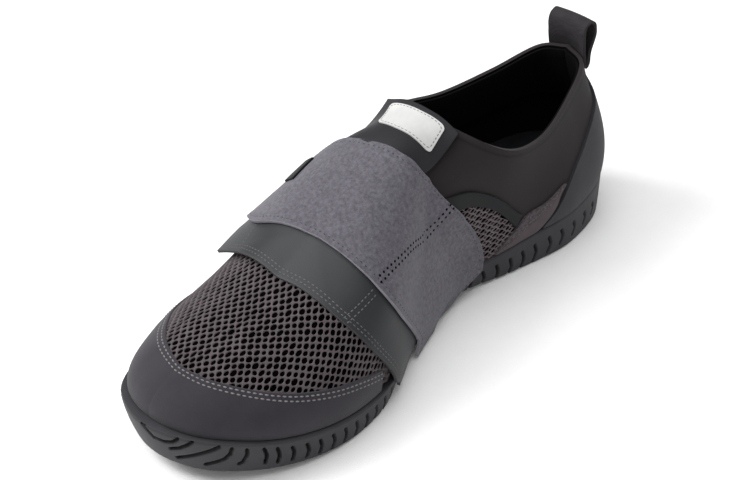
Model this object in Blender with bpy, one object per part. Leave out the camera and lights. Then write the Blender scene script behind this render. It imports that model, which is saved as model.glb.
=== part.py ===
"""Low slip-on sneaker for the right foot, closed by a wide strap over the instep.

The toe points along +X, the inner (medial) side of the foot is +Y and the sole stands on Z = 0.
Every side of the shoe is described by s, which runs from 0 at the back of the heel to 1 at the tip of
the toe, and by v, which runs from 0 at the line where the upper meets the sole to 1 at the rim of the
collar or, in front of the throat, at the ridge of the instep.
"""
import math

import bmesh
import bpy
import numpy as np

MM = 0.001
MEDIAL = 1
LATERAL = -1
SIDES = (MEDIAL, LATERAL)

# Middle of the footprint in the tables below (mm); the finished shoe stands with it at the origin.
FOOTPRINT_X = -0.47
FOOTPRINT_Y = 1.85

# Plan outline of the sole: place, x, y (mm).
SOLE_EDGE = {
    MEDIAL: (
        ("heel back", -146.5, 3.0),
        ("heel corner", -135.0, 26.0),
        ("heel", -102.0, 37.0),
        ("rear waist", -62.0, 32.0),
        ("waist", -25.0, 25.5),
        ("front waist", 15.0, 34.0),
        ("ball", 52.0, 51.2),
        ("toe base", 85.0, 53.0),
        ("toe", 117.0, 42.0),
        ("toe corner", 140.0, 21.5),
        ("toe tip", 146.5, 1.0),
    ),
    LATERAL: (
        ("heel back", -146.5, 3.0),
        ("heel corner", -135.0, -20.0),
        ("heel", -102.0, -34.0),
        ("rear waist", -55.0, -41.0),
        ("waist", -10.0, -46.5),
        ("ball", 35.0, -50.0),
        ("toe base", 75.0, -47.0),
        ("toe", 113.0, -38.5),
        ("toe corner", 139.5, -20.5),
        ("toe tip", 146.5, 1.0),
    ),
}

# Height of the sole's upper face along the shoe: x, z (mm).
SOLE_TOP = (
    (-150, 26.0),
    (-130, 23.5),
    (-110, 21.8),
    (-85, 20.4),
    (-60, 18.0),
    (-30, 14.8),
    (0, 13.0),
    (50, 13.2),
    (80, 16.0),
    (110, 21.0),
    (130, 26.0),
    (150, 30.5),
)
TOE_SPRING = 9.0
TOE_SPRING_POWER = 1.4
TOE_SPRING_START = 66.0
TOE_SPRING_END = 146.0
HEEL_BEVEL = 2.0
HEEL_BEVEL_START = -127.0
HEEL_BEVEL_LENGTH = 20.0
ARCH_RISE = 2.4
ARCH_BACK = -72.0
ARCH_FRONT = 22.0

# Tuck of the sole's lower edge below its upper edge: s, tuck (mm).
SOLE_TUCK = (
    (0.00, 0.8),
    (0.15, 0.8),
    (0.30, 1.8),
    (0.50, 2.4),
    (0.70, 2.0),
    (0.85, 2.6),
    (0.94, 4.0),
    (1.00, 5.0),
)

# Rings down the sole's side: fall from its top to its tread, share of the tuck, extra inset (mm),
# share of the groove's depth, lift of a groove's floor (mm).
SOLE_RINGS = (
    (0.08, 0.00, 0.0, 0.0, 0.0),
    (0.36, 0.10, 0.0, 0.0, 0.0),
    (0.62, 0.35, 0.0, 1.0, 0.0),
    (0.90, 0.85, 0.0, 1.0, 0.0),
    (1.00, 1.00, 1.2, 0.6, 1.4),
    (1.00, 1.00, 9.0, 0.0, 0.0),
)
SOLE_TOP_INSETS = (11.0, 0.9)

# Flat spots of the tread under heel and forefoot: x from, x to, lateral y, medial y (mm).
TREAD_SPOTS = (
    (-122.0, -78.0, -14.0, 20.0),
    (24.0, 64.0, -36.0, 28.0),
)
TREAD_EDGE_LIFT = 0.5

# Rim of the collar from the heel to the throat: s, x, y, z (mm), inward lean (degrees).
COLLAR = {
    MEDIAL: (
        (0.00, -132, 3.0, 87.0, 13),
        (0.08, -127, 16.0, 84.5, 12),
        (0.17, -106, 24.8, 78.0, 9),
        (0.29, -76, 31.0, 71.5, 8),
        (0.38, -54, 30.5, 76.5, 20),
        (0.46, -39, 20.0, 87.0, 50),
        (0.52, -33, 2.0, 94.4, 80),
    ),
    LATERAL: (
        (0.00, -132, 3.0, 87.0, 13),
        (0.08, -127, -11.0, 84.0, 12),
        (0.17, -107, -24.0, 74.0, 9),
        (0.29, -76, -32.0, 71.0, 8),
        (0.38, -56, -33.0, 76.0, 20),
        (0.46, -42, -22.5, 86.0, 50),
        (0.52, -33, 2.0, 94.4, 80),
    ),
}

# Ridge of the instep from the throat to the vamp: s, x, y, z (mm).
RIDGE = (
    (0.52, -33, 2.0, 94.4),
    (0.58, -14, 2.0, 92.4),
    (0.65, 12, 2.0, 84.2),
    (0.75, 42, 3.0, 70.5),
    (0.85, 66, 4.0, 60.5),
    (0.94, 78, 4.0, 56.5),
    (1.00, 83, 4.0, 55.0),
)
THROAT_S = 0.52
THROAT_RISE = 0.10
THROAT_EASE = 0.08
RIDGE_END_S = 0.98

# Girth of the last: s, ledge of the sole outside the upper (mm), outward lean at the foot of the wall
# (degrees), fullness of the wall low down and near the top (mm).
GIRTH = (
    (0.00, 1.6, 10, 24, 24),
    (0.08, 1.6, 10, 24, 24),
    (0.17, 1.6, 9, 22, 24),
    (0.29, 1.8, 5, 20, 22),
    (0.38, 2.0, 3, 22, 22),
    (0.46, 2.2, 3, 25, 24),
    (0.52, 2.4, 4, 27, 28),
    (0.58, 2.6, 6, 27, 31),
    (0.65, 2.8, 9, 26, 31),
    (0.75, 3.2, 11, 24, 30),
    (0.85, 3.8, 11, 21, 29),
    (0.94, 5.2, 9, 18, 29),
    (1.00, 6.8, 8, 17, 31),
)
# Extra fullness of the lateral wall near its top: s, fullness (mm).
LATERAL_FULLNESS = (
    (0.00, 0.0),
    (0.46, 0.0),
    (0.54, 4.0),
    (0.62, 5.0),
    (0.72, 0.0),
    (0.80, -5.0),
    (0.90, -5.0),
    (1.00, 0.0),
)

WALL = 2.0
SEAT_GAP = 0.3
LAY_GAP = 0.45
PANEL = 1.2
PANEL_FOOT_V = 0.012

# Side grooves of the sole.
GROOVE_WIDTH = 2.2
GROOVE_DEPTH = 2.0
GROOVE_BOW = 1.2
GROOVE_PITCH_HEEL = 9.8
GROOVE_PITCH_TOE = 8.0
GROOVE_FIRST_S = 0.035
GROOVE_LAST_S = 0.945
STRAP_REST_START_S = 0.44
STRAP_REST_END_S = 0.615
# Forward sweep of a groove from its top to its bottom: s, sweep (mm).
GROOVE_SWEEP = ((0.0, 0.5), (0.5, 1.0), (0.75, 2.5), (0.85, 6.0), (0.92, 11.0), (0.96, 6.0), (1.0, 0.0))

# Strap across the instep. w runs from the medial sole (0) over the ridge (1) down the lateral side;
# below 0 it covers the side of the sole: w, x of the rear edge, x of the front edge (mm).
SUEDE_EDGES = (
    (-1.0, -15.0, 19.0),
    (-0.6, -24.0, 18.5),
    (-0.25, -35.0, 18.0),
    (0.0, -38.5, 18.5),
    (0.13, -38.8, 22.5),
    (0.32, -35.0, 33.0),
    (0.46, -29.5, 39.0),
    (0.57, -21.0, 42.0),
    (0.65, -12.5, 43.5),
    (0.72, -7.5, 44.0),
    (0.84, -5.4, 45.0),
    (1.00, -4.6, 45.5),
    (1.14, -3.4, 45.0),
    (1.22, -2.2, 44.3),
    (1.30, 0.2, 43.5),
    (1.45, 3.0, 43.0),
    (1.62, 4.0, 43.5),
)
LEATHER_EDGES = (
    (-1.0, 8.0, 46.0),
    (0.0, 8.0, 46.5),
    (0.13, 11.5, 50.0),
    (0.32, 23.0, 57.5),
    (0.55, 31.0, 64.0),
    (0.80, 34.0, 66.5),
    (1.00, 35.0, 68.0),
    (1.16, 34.5, 67.5),
    (1.45, 32.5, 64.5),
    (1.62, 32.0, 62.0),
)
STRAP_END_W = 1.62
SUEDE_LOW_W = -0.85
LEATHER_LOW_W = -0.40
LEATHER_THICKNESS = 1.6
SUEDE_THICKNESS = 1.8
SUEDE_OVER_LEATHER = 2.8
TAB_COVER_FULL = 0.43
TAB_COVER_END = 0.54
SUEDE_STEP_FROM = 0.28
SUEDE_STEP_TO = 0.58
STRAP_SPREAD_W = 0.30
FREE_END_LIFT = 2.4
FREE_END_START_W = 1.42
STAND_OFF = 3.0
STAND_OFF_W = (1.0, 1.3)

# Small pull tab on the lateral side of the strap.
KEEPER_W = (1.36, 1.41)
KEEPER_X = (8.0, 25.0)
KEEPER_THICKNESS = 1.2

# Toe cap: s, v of its upper edge.
TOE_CAP_EDGE = (
    (0.652, 0.108),
    (0.700, 0.150),
    (0.745, 0.185),
    (0.795, 0.232),
    (0.849, 0.300),
    (0.890, 0.350),
    (0.940, 0.405),
    (0.985, 0.450),
    (1.000, 0.462),
)
TOE_CAP_START_S = 0.652

# Heel counter: s, v of its upper edge.
COUNTER_EDGE = (
    (0.000, 0.82),
    (0.040, 0.81),
    (0.075, 0.745),
    (0.107, 0.643),
    (0.147, 0.558),
    (0.175, 0.467),
    (0.198, 0.347),
    (0.218, 0.231),
    (0.232, 0.120),
    (0.241, 0.070),
    (0.251, 0.030),
)
COUNTER_FRONT_S = (0.175, 0.198, 0.218, 0.232, 0.241, 0.251)

# Leaf-shaped side wedge between counter and waist: place along it, s and v of its upper and lower edge.
WEDGE_EDGES = (
    (0.00, 0.208, 0.348, 0.205, 0.335),
    (0.25, 0.249, 0.285, 0.226, 0.222),
    (0.50, 0.285, 0.217, 0.246, 0.081),
    (0.75, 0.312, 0.109, 0.280, 0.020),
    (1.00, 0.343, 0.016, 0.332, 0.004),
)

# Arched trim over the waist: place along it, s and v of its upper and lower edge.
TRIM_EDGES = (
    (0.00, 0.446, 0.660, 0.416, 0.574),
    (0.33, 0.405, 0.669, 0.388, 0.556),
    (0.66, 0.350, 0.552, 0.343, 0.407),
    (1.00, 0.296, 0.276, 0.318, 0.172),
)

# Throat tab and its plain label: x back, x front, y lateral, y medial (mm).
TAB_BACK = -35.0
TAB_FRONT = 0.0
TAB_Y = (-23.5, 15.5)
TAB_MIDDLE_Y = 2.0
TAB_SWEEP = 1.0
TAB_TAPER = -0.05
TAB_HALF = 20.0
TAB_THICKNESS = 1.2
TAB_GAP = 0.85
TAB_RISE = 1.2
TAB_RISE_X = -14.0
INSTEP_S = (0.34, 0.76)
INSTEP_V = (0.45, 1.0)
INSTEP_NEAR = 16
LABEL_X = (-31.5, -17.0)
LABEL_Y = (-17.0, 10.5)
LABEL_THICKNESS = 0.7
LABEL_GAP = 0.6
LABEL_ROUND = 0.35

# Middle line of the pull loop in the heel's mid plane: x, z (mm), going round.
LOOP_LINE = (
    (-135.4, 79.0),
    (-134.6, 83.0),
    (-133.5, 87.5),
    (-131.3, 92.5),
    (-130.2, 97.5),
    (-131.3, 101.3),
    (-134.6, 102.6),
    (-137.8, 100.8),
    (-139.2, 96.0),
    (-139.0, 90.0),
    (-138.0, 84.5),
    (-137.4, 79.0),
    (-136.4, 77.8),
)
LOOP_THICKNESS = 1.5
LOOP_WIDTH = 22.0
LOOP_MIDDLE_Y = 3.0
LOOP_BEND = 34.0
LOOP_STRAIGHT_Z = (86.0, 96.0)
LOOP_STRAIGHTENING = 0.75

INSOLE_THICKNESS = 4.0
INSOLE_CLEARANCE = 0.8
INSOLE_EDGE_DROP = 1.0
INSOLE_EDGE_INSET = 1.2

COLUMNS = 38
ROWS = 14

FINISHES = {
    "rubber": ((0.050, 0.050, 0.053), 0.62),
    "insole cloth": ((0.030, 0.034, 0.045), 0.90),
    "upper cloth": ((0.040, 0.036, 0.038), 0.85),
    "nubuck": ((0.058, 0.056, 0.063), 0.88),
    "trim": ((0.036, 0.040, 0.042), 0.60),
    "leather": ((0.070, 0.074, 0.078), 0.50),
    "suede": ((0.165, 0.158, 0.185), 0.95),
    "label": ((0.80, 0.80, 0.79), 0.60),
    "webbing": ((0.034, 0.034, 0.036), 0.85),
}


def smooth(start, end, value):
    """Ease from 0 at start to 1 at end."""
    t = np.clip((np.asarray(value, float) - start) / (end - start), 0.0, 1.0)
    return t * t * (3.0 - 2.0 * t)


def curve(table, at):
    """Smooth curve through a table whose first column is the place along it."""
    rows = np.asarray(table, float)
    place = rows[:, 0]
    value = rows[:, 1:]
    at = np.atleast_1d(np.asarray(at, float))
    step = np.diff(place)
    rate = np.diff(value, axis=0) / step[:, None]
    slope = np.empty_like(value)
    slope[0] = rate[0]
    slope[-1] = rate[-1]
    weight = step[:-1] + step[1:]
    slope[1:-1] = (rate[:-1] * step[1:, None] + rate[1:] * step[:-1, None]) / weight[:, None]
    i = np.clip(np.searchsorted(place, at, side="right") - 1, 0, len(place) - 2)
    h = step[i][:, None]
    u = (at[:, None] - place[i][:, None]) / h
    start = (1 + 2 * u) * (1 - u) ** 2 * value[i] + u * (1 - u) ** 2 * h * slope[i]
    end = u * u * (3 - 2 * u) * value[i + 1] + u * u * (u - 1) * h * slope[i + 1]
    return start + end


def edge_track(rows):
    """Fine plan outline of one side, square to the axis at heel and toe, with its share of length."""
    xy = np.array([row[1:] for row in rows], float)
    before = np.array([xy[1, 0], 2 * xy[0, 1] - xy[1, 1]])
    after = np.array([xy[-2, 0], 2 * xy[-1, 1] - xy[-2, 1]])
    padded = np.vstack([before, xy, after])
    chord = np.linalg.norm(np.diff(padded, axis=0), axis=1)
    along = np.concatenate([[0.0], np.cumsum(chord)])
    fine = curve(np.column_stack([along, padded]), np.linspace(along[1], along[-2], 400))
    run = np.concatenate([[0.0], np.cumsum(np.linalg.norm(np.diff(fine, axis=0), axis=1))])
    return run, fine


TRACK = {side: edge_track(SOLE_EDGE[side]) for side in SIDES}
SIDE_LENGTH = {side: float(TRACK[side][0][-1]) for side in SIDES}


def edge(side, s, inset):
    """Point of the sole outline moved inward, and the inward direction there."""
    s = np.atleast_1d(np.asarray(s, float))
    run, fine = TRACK[side]
    share = run / run[-1]

    def on_track(q):
        return np.stack([np.interp(q, share, fine[:, 0]), np.interp(q, share, fine[:, 1])], -1)

    near = 0.004
    along = on_track(np.clip(s + near, 0, 1)) - on_track(np.clip(s - near, 0, 1))
    along[s < 0.002] = (0.0, side)
    along[s > 0.998] = (0.0, -side)
    along /= np.linalg.norm(along, axis=1)[:, None]
    inward = np.stack([along[:, 1], -along[:, 0]], -1) * side
    inset = np.broadcast_to(np.asarray(inset, float), s.shape)
    return on_track(s) + inward * inset[:, None], inward


def sole_top(x):
    """Height of the sole's upper face."""
    return curve(SOLE_TOP, x)[:, 0]


def sole_bottom(x):
    """Height of the tread: flat at heel and forefoot, raised at toe, heel edge and arch."""
    x = np.atleast_1d(np.asarray(x, float))
    toe = np.clip((x - TOE_SPRING_START) / (TOE_SPRING_END - TOE_SPRING_START), 0, 1.05)
    heel = np.clip((HEEL_BEVEL_START - x) / HEEL_BEVEL_LENGTH, 0, 1)
    arch = np.clip((x - ARCH_BACK) / (ARCH_FRONT - ARCH_BACK), 0, 1)
    return TOE_SPRING * toe ** TOE_SPRING_POWER + HEEL_BEVEL * heel ** 2 + ARCH_RISE * np.sin(math.pi * arch) ** 2


def rib(side, s):
    """Four control points of the upper's wall at s, from the sole up to collar or ridge."""
    s = np.atleast_1d(np.asarray(s, float))
    girth = curve(GIRTH, s)
    if side == LATERAL:
        girth[:, 3] += curve(LATERAL_FULLNESS, s)[:, 0]
    foot_xy, inward = edge(side, s, girth[:, 0])
    foot = np.column_stack([foot_xy, sole_top(foot_xy[:, 0]) + SEAT_GAP])
    top = np.empty((len(s), 3))
    arrive = np.empty((len(s), 3))
    collar = s <= THROAT_S
    if collar.any():
        rim = curve(COLLAR[side], s[collar])
        top[collar] = rim[:, :3]
        lean = np.radians(rim[:, 3])
        level = (top[collar] - foot[collar])[:, :2] + inward[collar] * 3.0
        level /= np.linalg.norm(level, axis=1)[:, None]
        arrive[collar] = np.column_stack([level * np.sin(lean)[:, None], np.cos(lean)])
    vamp = ~collar
    if vamp.any():
        q = s[vamp]
        top[vamp] = curve(RIDGE, q)
        ahead = curve(RIDGE, np.clip(q + 0.002, THROAT_S, 1)) - curve(RIDGE, np.clip(q - 0.002, THROAT_S, 1))
        slope = ahead[:, 2] / ahead[:, 0]
        level = (top[vamp] - foot[vamp])[:, :2]
        level /= np.linalg.norm(level, axis=1)[:, None]
        down = np.column_stack([level, slope * level[:, 0]])
        flat = np.column_stack([level, np.full(len(q), THROAT_RISE)])
        share = smooth(THROAT_S, THROAT_S + THROAT_EASE, q)[:, None]
        arrive[vamp] = down * share + flat * (1 - share)
        arrive[vamp] /= np.linalg.norm(arrive[vamp], axis=1)[:, None]
    lean_out = np.radians(girth[:, 1])
    leave = np.column_stack([-inward * np.sin(lean_out)[:, None], np.cos(lean_out)])
    return foot, foot + leave * girth[:, 2:3], top - arrive * girth[:, 3:4], top


def surface(side, s, v):
    """Points of the upper's outer face."""
    a, b, c, d = rib(side, s)
    v = np.atleast_1d(np.asarray(v, float))[:, None]
    u = 1 - v
    return u ** 3 * a + 3 * v * u ** 2 * b + 3 * v * v * u * c + v ** 3 * d


def one_side_normal(side, s, v):
    """Outward normals of the upper taken from one side only."""
    near = 0.004
    along = surface(side, np.clip(s + near, 0, 1), v) - surface(side, np.clip(s - near, 0, 1), v)
    upward = surface(side, s, np.clip(v + near, 0, 1)) - surface(side, s, np.clip(v - near, 0, 1))
    normal = np.cross(along, upward) * -side
    return normal / np.linalg.norm(normal, axis=1)[:, None]


def normals(side, s, v):
    """Outward normals of the upper, shared by both sides at ridge, heel line and toe line."""
    s = np.asarray(s, float)
    v = np.asarray(v, float)
    shared = ((v > 0.999) & (s >= THROAT_S - 1e-6)) | (s < 1e-6) | (s > 1 - 1e-6)
    s = np.where(v > 0.85, np.minimum(s, RIDGE_END_S), s)
    own = one_side_normal(side, s, v)
    other = one_side_normal(-side, s, v)
    own[shared] += other[shared]
    return own / np.linalg.norm(own, axis=1)[:, None]


def lay(side, s, v, height):
    """Points a given height above the upper."""
    s, v, height = np.broadcast_arrays(s, v, height)
    flat_s = s.ravel().astype(float)
    flat_v = v.ravel().astype(float)
    points = surface(side, flat_s, flat_v) + normals(side, flat_s, flat_v) * height.ravel()[:, None]
    return points.reshape(s.shape + (3,))


def new_object(name, points, faces, finish, weld=0.0):
    """Mesh object in metres with its own material."""
    mesh = bpy.data.meshes.new(name)
    placed = np.asarray(points) - (FOOTPRINT_X, FOOTPRINT_Y, 0.0)
    mesh.from_pydata([tuple(p) for p in placed * MM], [], faces)
    bm = bmesh.new()
    bm.from_mesh(mesh)
    if weld:
        bmesh.ops.remove_doubles(bm, verts=bm.verts[:], dist=weld * MM)
    bmesh.ops.recalc_face_normals(bm, faces=bm.faces[:])
    bm.to_mesh(mesh)
    bm.free()
    color, roughness = FINISHES[finish]
    material = bpy.data.materials.new(name + " " + finish)
    material.use_nodes = True
    shader = material.node_tree.nodes["Principled BSDF"]
    shader.inputs["Base Color"].default_value = color + (1.0,)
    shader.inputs["Roughness"].default_value = roughness
    material.diffuse_color = color + (1.0,)
    mesh.materials.append(material)
    obj = bpy.data.objects.new(name, mesh)
    bpy.context.scene.collection.objects.link(obj)
    return obj


def grid_faces(rows, columns, first, flip=False):
    """Quads of a grid whose vertices start at first, row by row."""
    faces = []
    for r in range(rows - 1):
        for c in range(columns - 1):
            a = first + r * columns + c
            quad = (a, a + 1, a + columns + 1, a + columns)
            faces.append(quad[::-1] if flip else quad)
    return faces


def plate(name, outer, inner, finish):
    """Closed thin piece between two grids of points."""
    rows, columns = outer.shape[:2]
    count = rows * columns
    points = np.vstack([outer.reshape(-1, 3), inner.reshape(-1, 3)])
    faces = grid_faces(rows, columns, 0) + grid_faces(rows, columns, count, True)
    border = [c for c in range(columns)]
    border += [r * columns + columns - 1 for r in range(1, rows)]
    border += [(rows - 1) * columns + c for c in range(columns - 2, -1, -1)]
    border += [r * columns for r in range(rows - 2, 0, -1)]
    for i, a in enumerate(border):
        b = border[(i + 1) % len(border)]
        faces.append((a, a + count, b + count, b))
    return new_object(name, points, faces, finish)


def column_places():
    """Places s of the upper's ribs, closer together at heel and toe."""
    even = np.linspace(0.0, 1.0, COLUMNS)
    eased = (1 - np.cos(math.pi * even)) / 2
    places = 0.6 * eased + 0.4 * even
    places[np.argmin(np.abs(places - THROAT_S))] = THROAT_S
    return places


def build_upper():
    """Hollow upper, open at the collar and at the sole."""
    places = column_places()
    levels = np.linspace(0.0, 1.0, ROWS)
    points = []
    faces = []
    skins = {}
    for depth in (0.0, -WALL):
        for side in SIDES:
            s, v = np.meshgrid(places, levels, indexing="ij")
            skins[depth, side] = len(points)
            points.extend(lay(side, s, v, np.full(s.shape, depth)).reshape(-1, 3))
            faces += grid_faces(COLUMNS, ROWS, skins[depth, side])
    for side in SIDES:
        outer = skins[0.0, side]
        inner = skins[-WALL, side]
        for c in range(COLUMNS - 1):
            a = c * ROWS
            b = a + ROWS
            faces.append((outer + a, outer + b, inner + b, inner + a))
            if places[c + 1] <= THROAT_S + 1e-6:
                a += ROWS - 1
                b += ROWS - 1
                faces.append((outer + a, outer + b, inner + b, inner + a))
    return new_object("upper", points, faces, "upper cloth", weld=0.02)


def groove_places(side):
    """Places s of the side grooves' middles."""
    length = SIDE_LENGTH[side]
    places = []
    s = GROOVE_FIRST_S
    while s < GROOVE_LAST_S:
        under_strap = side == MEDIAL and STRAP_REST_START_S < s < STRAP_REST_END_S
        if not under_strap:
            places.append(s)
        pitch = GROOVE_PITCH_HEEL + (GROOVE_PITCH_TOE - GROOVE_PITCH_HEEL) * s
        s += pitch / length
    return places


def sole_columns(side, count):
    """Columns around one side of the sole: s and whether the column is the bottom of a groove."""
    half = GROOVE_WIDTH / 2 / SIDE_LENGTH[side]
    columns = [(0.0, False)]
    for s in groove_places(side):
        columns += [(s - half, False), (s, True), (s + half, False)]
    columns.append((1.0, False))
    while len(columns) < count:
        gaps = [columns[i + 1][0] - columns[i][0] for i in range(len(columns) - 1)]
        widest = int(np.argmax(gaps))
        middle = (columns[widest][0] + columns[widest + 1][0]) / 2
        columns.insert(widest + 1, (middle, False))
    return columns


def flatten_tread(side, ring):
    """Lift a ring of the tread slightly, apart from the flat spots that the shoe rests on."""
    ring[:, 2] += TREAD_EDGE_LIFT
    for back, front, lateral_y, medial_y in TREAD_SPOTS:
        on_spot = (ring[:, 0] >= back) & (ring[:, 0] <= front)
        ring[on_spot, 1] = medial_y if side == MEDIAL else lateral_y
        ring[on_spot, 2] = 0.0


def sole_side(side, columns):
    """Rings of one side of the sole, from the middle of its top to the middle of its tread."""
    s = np.array([c[0] for c in columns])
    floor = np.array([float(c[1]) for c in columns])
    tuck = curve(SOLE_TUCK, s)[:, 0]
    sweep = curve(GROOVE_SWEEP, s)[:, 0]
    rings = []
    for inset in SOLE_TOP_INSETS:
        xy, _ = edge(side, s, np.full(len(s), inset))
        rings.append(np.column_stack([xy, sole_top(xy[:, 0])]))
    for fall, tuck_share, inset, depth_share, floor_lift in SOLE_RINGS:
        bow = GROOVE_BOW * math.sin(math.pi * fall)
        at = np.clip(s + (sweep * fall ** 2 - bow) / SIDE_LENGTH[side], 0.0, 1.0)
        at[0] = 0.0
        at[-1] = 1.0
        xy, _ = edge(side, at, tuck * tuck_share + inset + GROOVE_DEPTH * depth_share * floor)
        rim, _ = edge(side, at, 0.0)
        high = sole_top(rim[:, 0])
        low = sole_bottom(xy[:, 0])
        rings.append(np.column_stack([xy, high + (low - high) * fall + floor_lift * floor]))
    rings[-2][:, 2] += TREAD_EDGE_LIFT
    flatten_tread(side, rings[-1])
    return rings


def build_sole():
    """One-piece sole with curved grooves round its side."""
    most = max(len(sole_columns(side, 0)) for side in SIDES)
    rings = {side: sole_side(side, sole_columns(side, most)) for side in SIDES}
    points = []
    faces = []
    first = {}
    for side in SIDES:
        first[side] = len(points)
        for ring in rings[side]:
            points.extend(ring)
        faces += grid_faces(len(rings[side]), most, first[side])
    last_ring = (len(rings[MEDIAL]) - 1) * most
    for start in (0, last_ring):
        for c in range(most - 1):
            a = first[MEDIAL] + start + c
            b = first[LATERAL] + start + c
            faces.append((a, a + 1, b + 1, b))
    return new_object("sole", points, faces, "rubber", weld=0.02)


def build_insole():
    """Footbed that lies on the sole inside the upper."""
    s = column_places()
    clear = curve(GIRTH, s)[:, 0] + WALL + INSOLE_CLEARANCE
    points = []
    faces = []
    top = SEAT_GAP + INSOLE_THICKNESS
    layers = ((0.0, SEAT_GAP), (0.0, top - INSOLE_EDGE_DROP), (INSOLE_EDGE_INSET, top))
    count = len(s)
    for side in SIDES:
        first = len(points)
        for inset, lift in layers:
            xy, _ = edge(side, s, clear + inset)
            points.extend(np.column_stack([xy, sole_top(xy[:, 0]) + lift]))
        faces += grid_faces(len(layers), count, first)
    other = len(layers) * count
    for start in (0, (len(layers) - 1) * count):
        for c in range(count - 1):
            a = start + c
            b = other + start + c
            faces.append((a, a + 1, b + 1, b))
    return new_object("insole", points, faces, "insole cloth", weld=0.02)


def place_at(side, v, x):
    """Place s where the upper's face at height v stands at x."""
    low = np.zeros(len(x))
    high = np.ones(len(x))
    for _ in range(30):
        middle = (low + high) / 2
        behind = surface(side, middle, v)[:, 0] < x
        low = np.where(behind, middle, low)
        high = np.where(behind, high, middle)
    return (low + high) / 2


def strap_places(w, x):
    """Places s along the strap's way for plan positions x."""
    medial = place_at(MEDIAL, np.clip(w, 0.0, 1.0), x)
    lateral = place_at(LATERAL, np.clip(2.0 - w, 0.0, 1.0), x)
    return np.where(w <= 1.0, medial, lateral)


def strap_points(w, s, height):
    """Points above the upper along the strap's way, running down over the side of the sole below w = 0."""
    points = np.empty((len(w), 3))
    for i, place in enumerate(w):
        side = MEDIAL if place <= 1.0 else LATERAL
        v = max(place, 0.0) if side == MEDIAL else 2.0 - place
        base = lay(side, np.array([s[i]]), np.array([v]), np.array([height[i]]))[0]
        if side == MEDIAL and place < STRAP_SPREAD_W:
            ledge = curve(GIRTH, s[i])[0, 0]
            _, inward = edge(side, s[i], 0.0)
            spread = (ledge + LAY_GAP) * (1 - float(smooth(0.0, STRAP_SPREAD_W, place)))
            base[:2] -= inward[0] * spread
        if place < 0.0:
            tuck = curve(SOLE_TUCK, s[i])[0, 0] * 0.5 * -place
            rim, inward = edge(side, s[i], tuck - LAY_GAP - height[i])
            high = sole_top(rim[:, 0])[0]
            low = sole_bottom(rim[:, 0])[0]
            base = np.array([rim[0, 0], rim[0, 1], high + (low - high) * -place])
        points[i] = base
    return points


def strap_grid(edges, low_w, columns, height):
    """Grid of points along and across a strap; height gives the lift from w and the place across."""
    w_rows = [low_w, low_w * 0.5] + list(np.linspace(0.0, 1.0, ROWS)[:-1])
    w_rows += [2.0 - v for v in np.linspace(0.0, 1.0, ROWS)[::-1] if 2.0 - v < STRAP_END_W - 0.02]
    w_rows.append(STRAP_END_W)
    w_rows = np.array(w_rows)
    span = curve(edges, w_rows)
    across = np.linspace(0.0, 1.0, columns)
    grid = np.empty((len(w_rows), columns, 3))
    for c, share in enumerate(across):
        s = strap_places(w_rows, span[:, 0] + (span[:, 1] - span[:, 0]) * share)
        grid[:, c] = strap_points(w_rows, s, height(w_rows, share))
    return grid


def free_end(w):
    """Lift of the strap on the lateral side, where it stands off, and at its loose end."""
    loose = np.clip((w - FREE_END_START_W) / (STRAP_END_W - FREE_END_START_W), 0, 1)
    return STAND_OFF * smooth(STAND_OFF_W[0], STAND_OFF_W[1], w) + FREE_END_LIFT * loose ** 2


def leather_height(w, share):
    """Underside of the leather band above the upper."""
    return LAY_GAP + free_end(w)


def suede_height(w, share):
    """Underside of the suede strap: over the leather in front, over the tab at the ridge."""
    over_tab = smooth(TAB_COVER_END, TAB_COVER_FULL, np.abs(w - 1.0))
    rear = LAY_GAP + (SUEDE_OVER_LEATHER - LAY_GAP) * over_tab
    step = float(smooth(SUEDE_STEP_FROM, SUEDE_STEP_TO, share))
    return rear + (SUEDE_OVER_LEATHER - rear) * step + free_end(w)


def build_strap():
    """Leather band and the wide suede strap that overlaps it."""
    columns = 7
    inner = strap_grid(LEATHER_EDGES, LEATHER_LOW_W, columns, leather_height)
    outer = strap_grid(
        LEATHER_EDGES, LEATHER_LOW_W, columns, lambda w, c: leather_height(w, c) + LEATHER_THICKNESS
    )
    plate("strap_leather", outer, inner, "leather")
    columns = 10
    inner = strap_grid(SUEDE_EDGES, SUEDE_LOW_W, columns, suede_height)
    outer = strap_grid(SUEDE_EDGES, SUEDE_LOW_W, columns, lambda w, c: suede_height(w, c) + SUEDE_THICKNESS)
    plate("strap_suede", outer, inner, "suede")


def build_keeper():
    """Small tab on the lateral side of the strap."""
    w, x = np.meshgrid(np.linspace(*KEEPER_W, 3), np.linspace(*KEEPER_X, 4), indexing="ij")
    span = curve(SUEDE_EDGES, w.ravel())
    share = (x.ravel() - span[:, 0]) / (span[:, 1] - span[:, 0])
    s = strap_places(w.ravel(), x.ravel())
    under = np.array([suede_height(np.array([a]), b)[0] for a, b in zip(w.ravel(), share)])
    under += SUEDE_THICKNESS + SEAT_GAP + 0.2
    inner = strap_points(w.ravel(), s, under).reshape(w.shape + (3,))
    outer = strap_points(w.ravel(), s, under + KEEPER_THICKNESS).reshape(w.shape + (3,))
    plate("strap_pull_tab", outer, inner, "trim")


def wrap_plate(name, s, side, top, rows, finish):
    """Plate that wraps an end of the shoe, from the sole up to its upper edge."""
    share = np.linspace(0.0, 1.0, rows)
    grids = []
    for height in (LAY_GAP + PANEL, LAY_GAP):
        grid = np.empty((len(s), rows, 3))
        for i in range(len(s)):
            v = PANEL_FOOT_V + (top[i] - PANEL_FOOT_V) * share
            grid[i] = lay(int(side[i]), np.full(rows, s[i]), v, np.full(rows, height))
        grids.append(grid)
    plate(name, grids[0], grids[1], finish)


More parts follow.
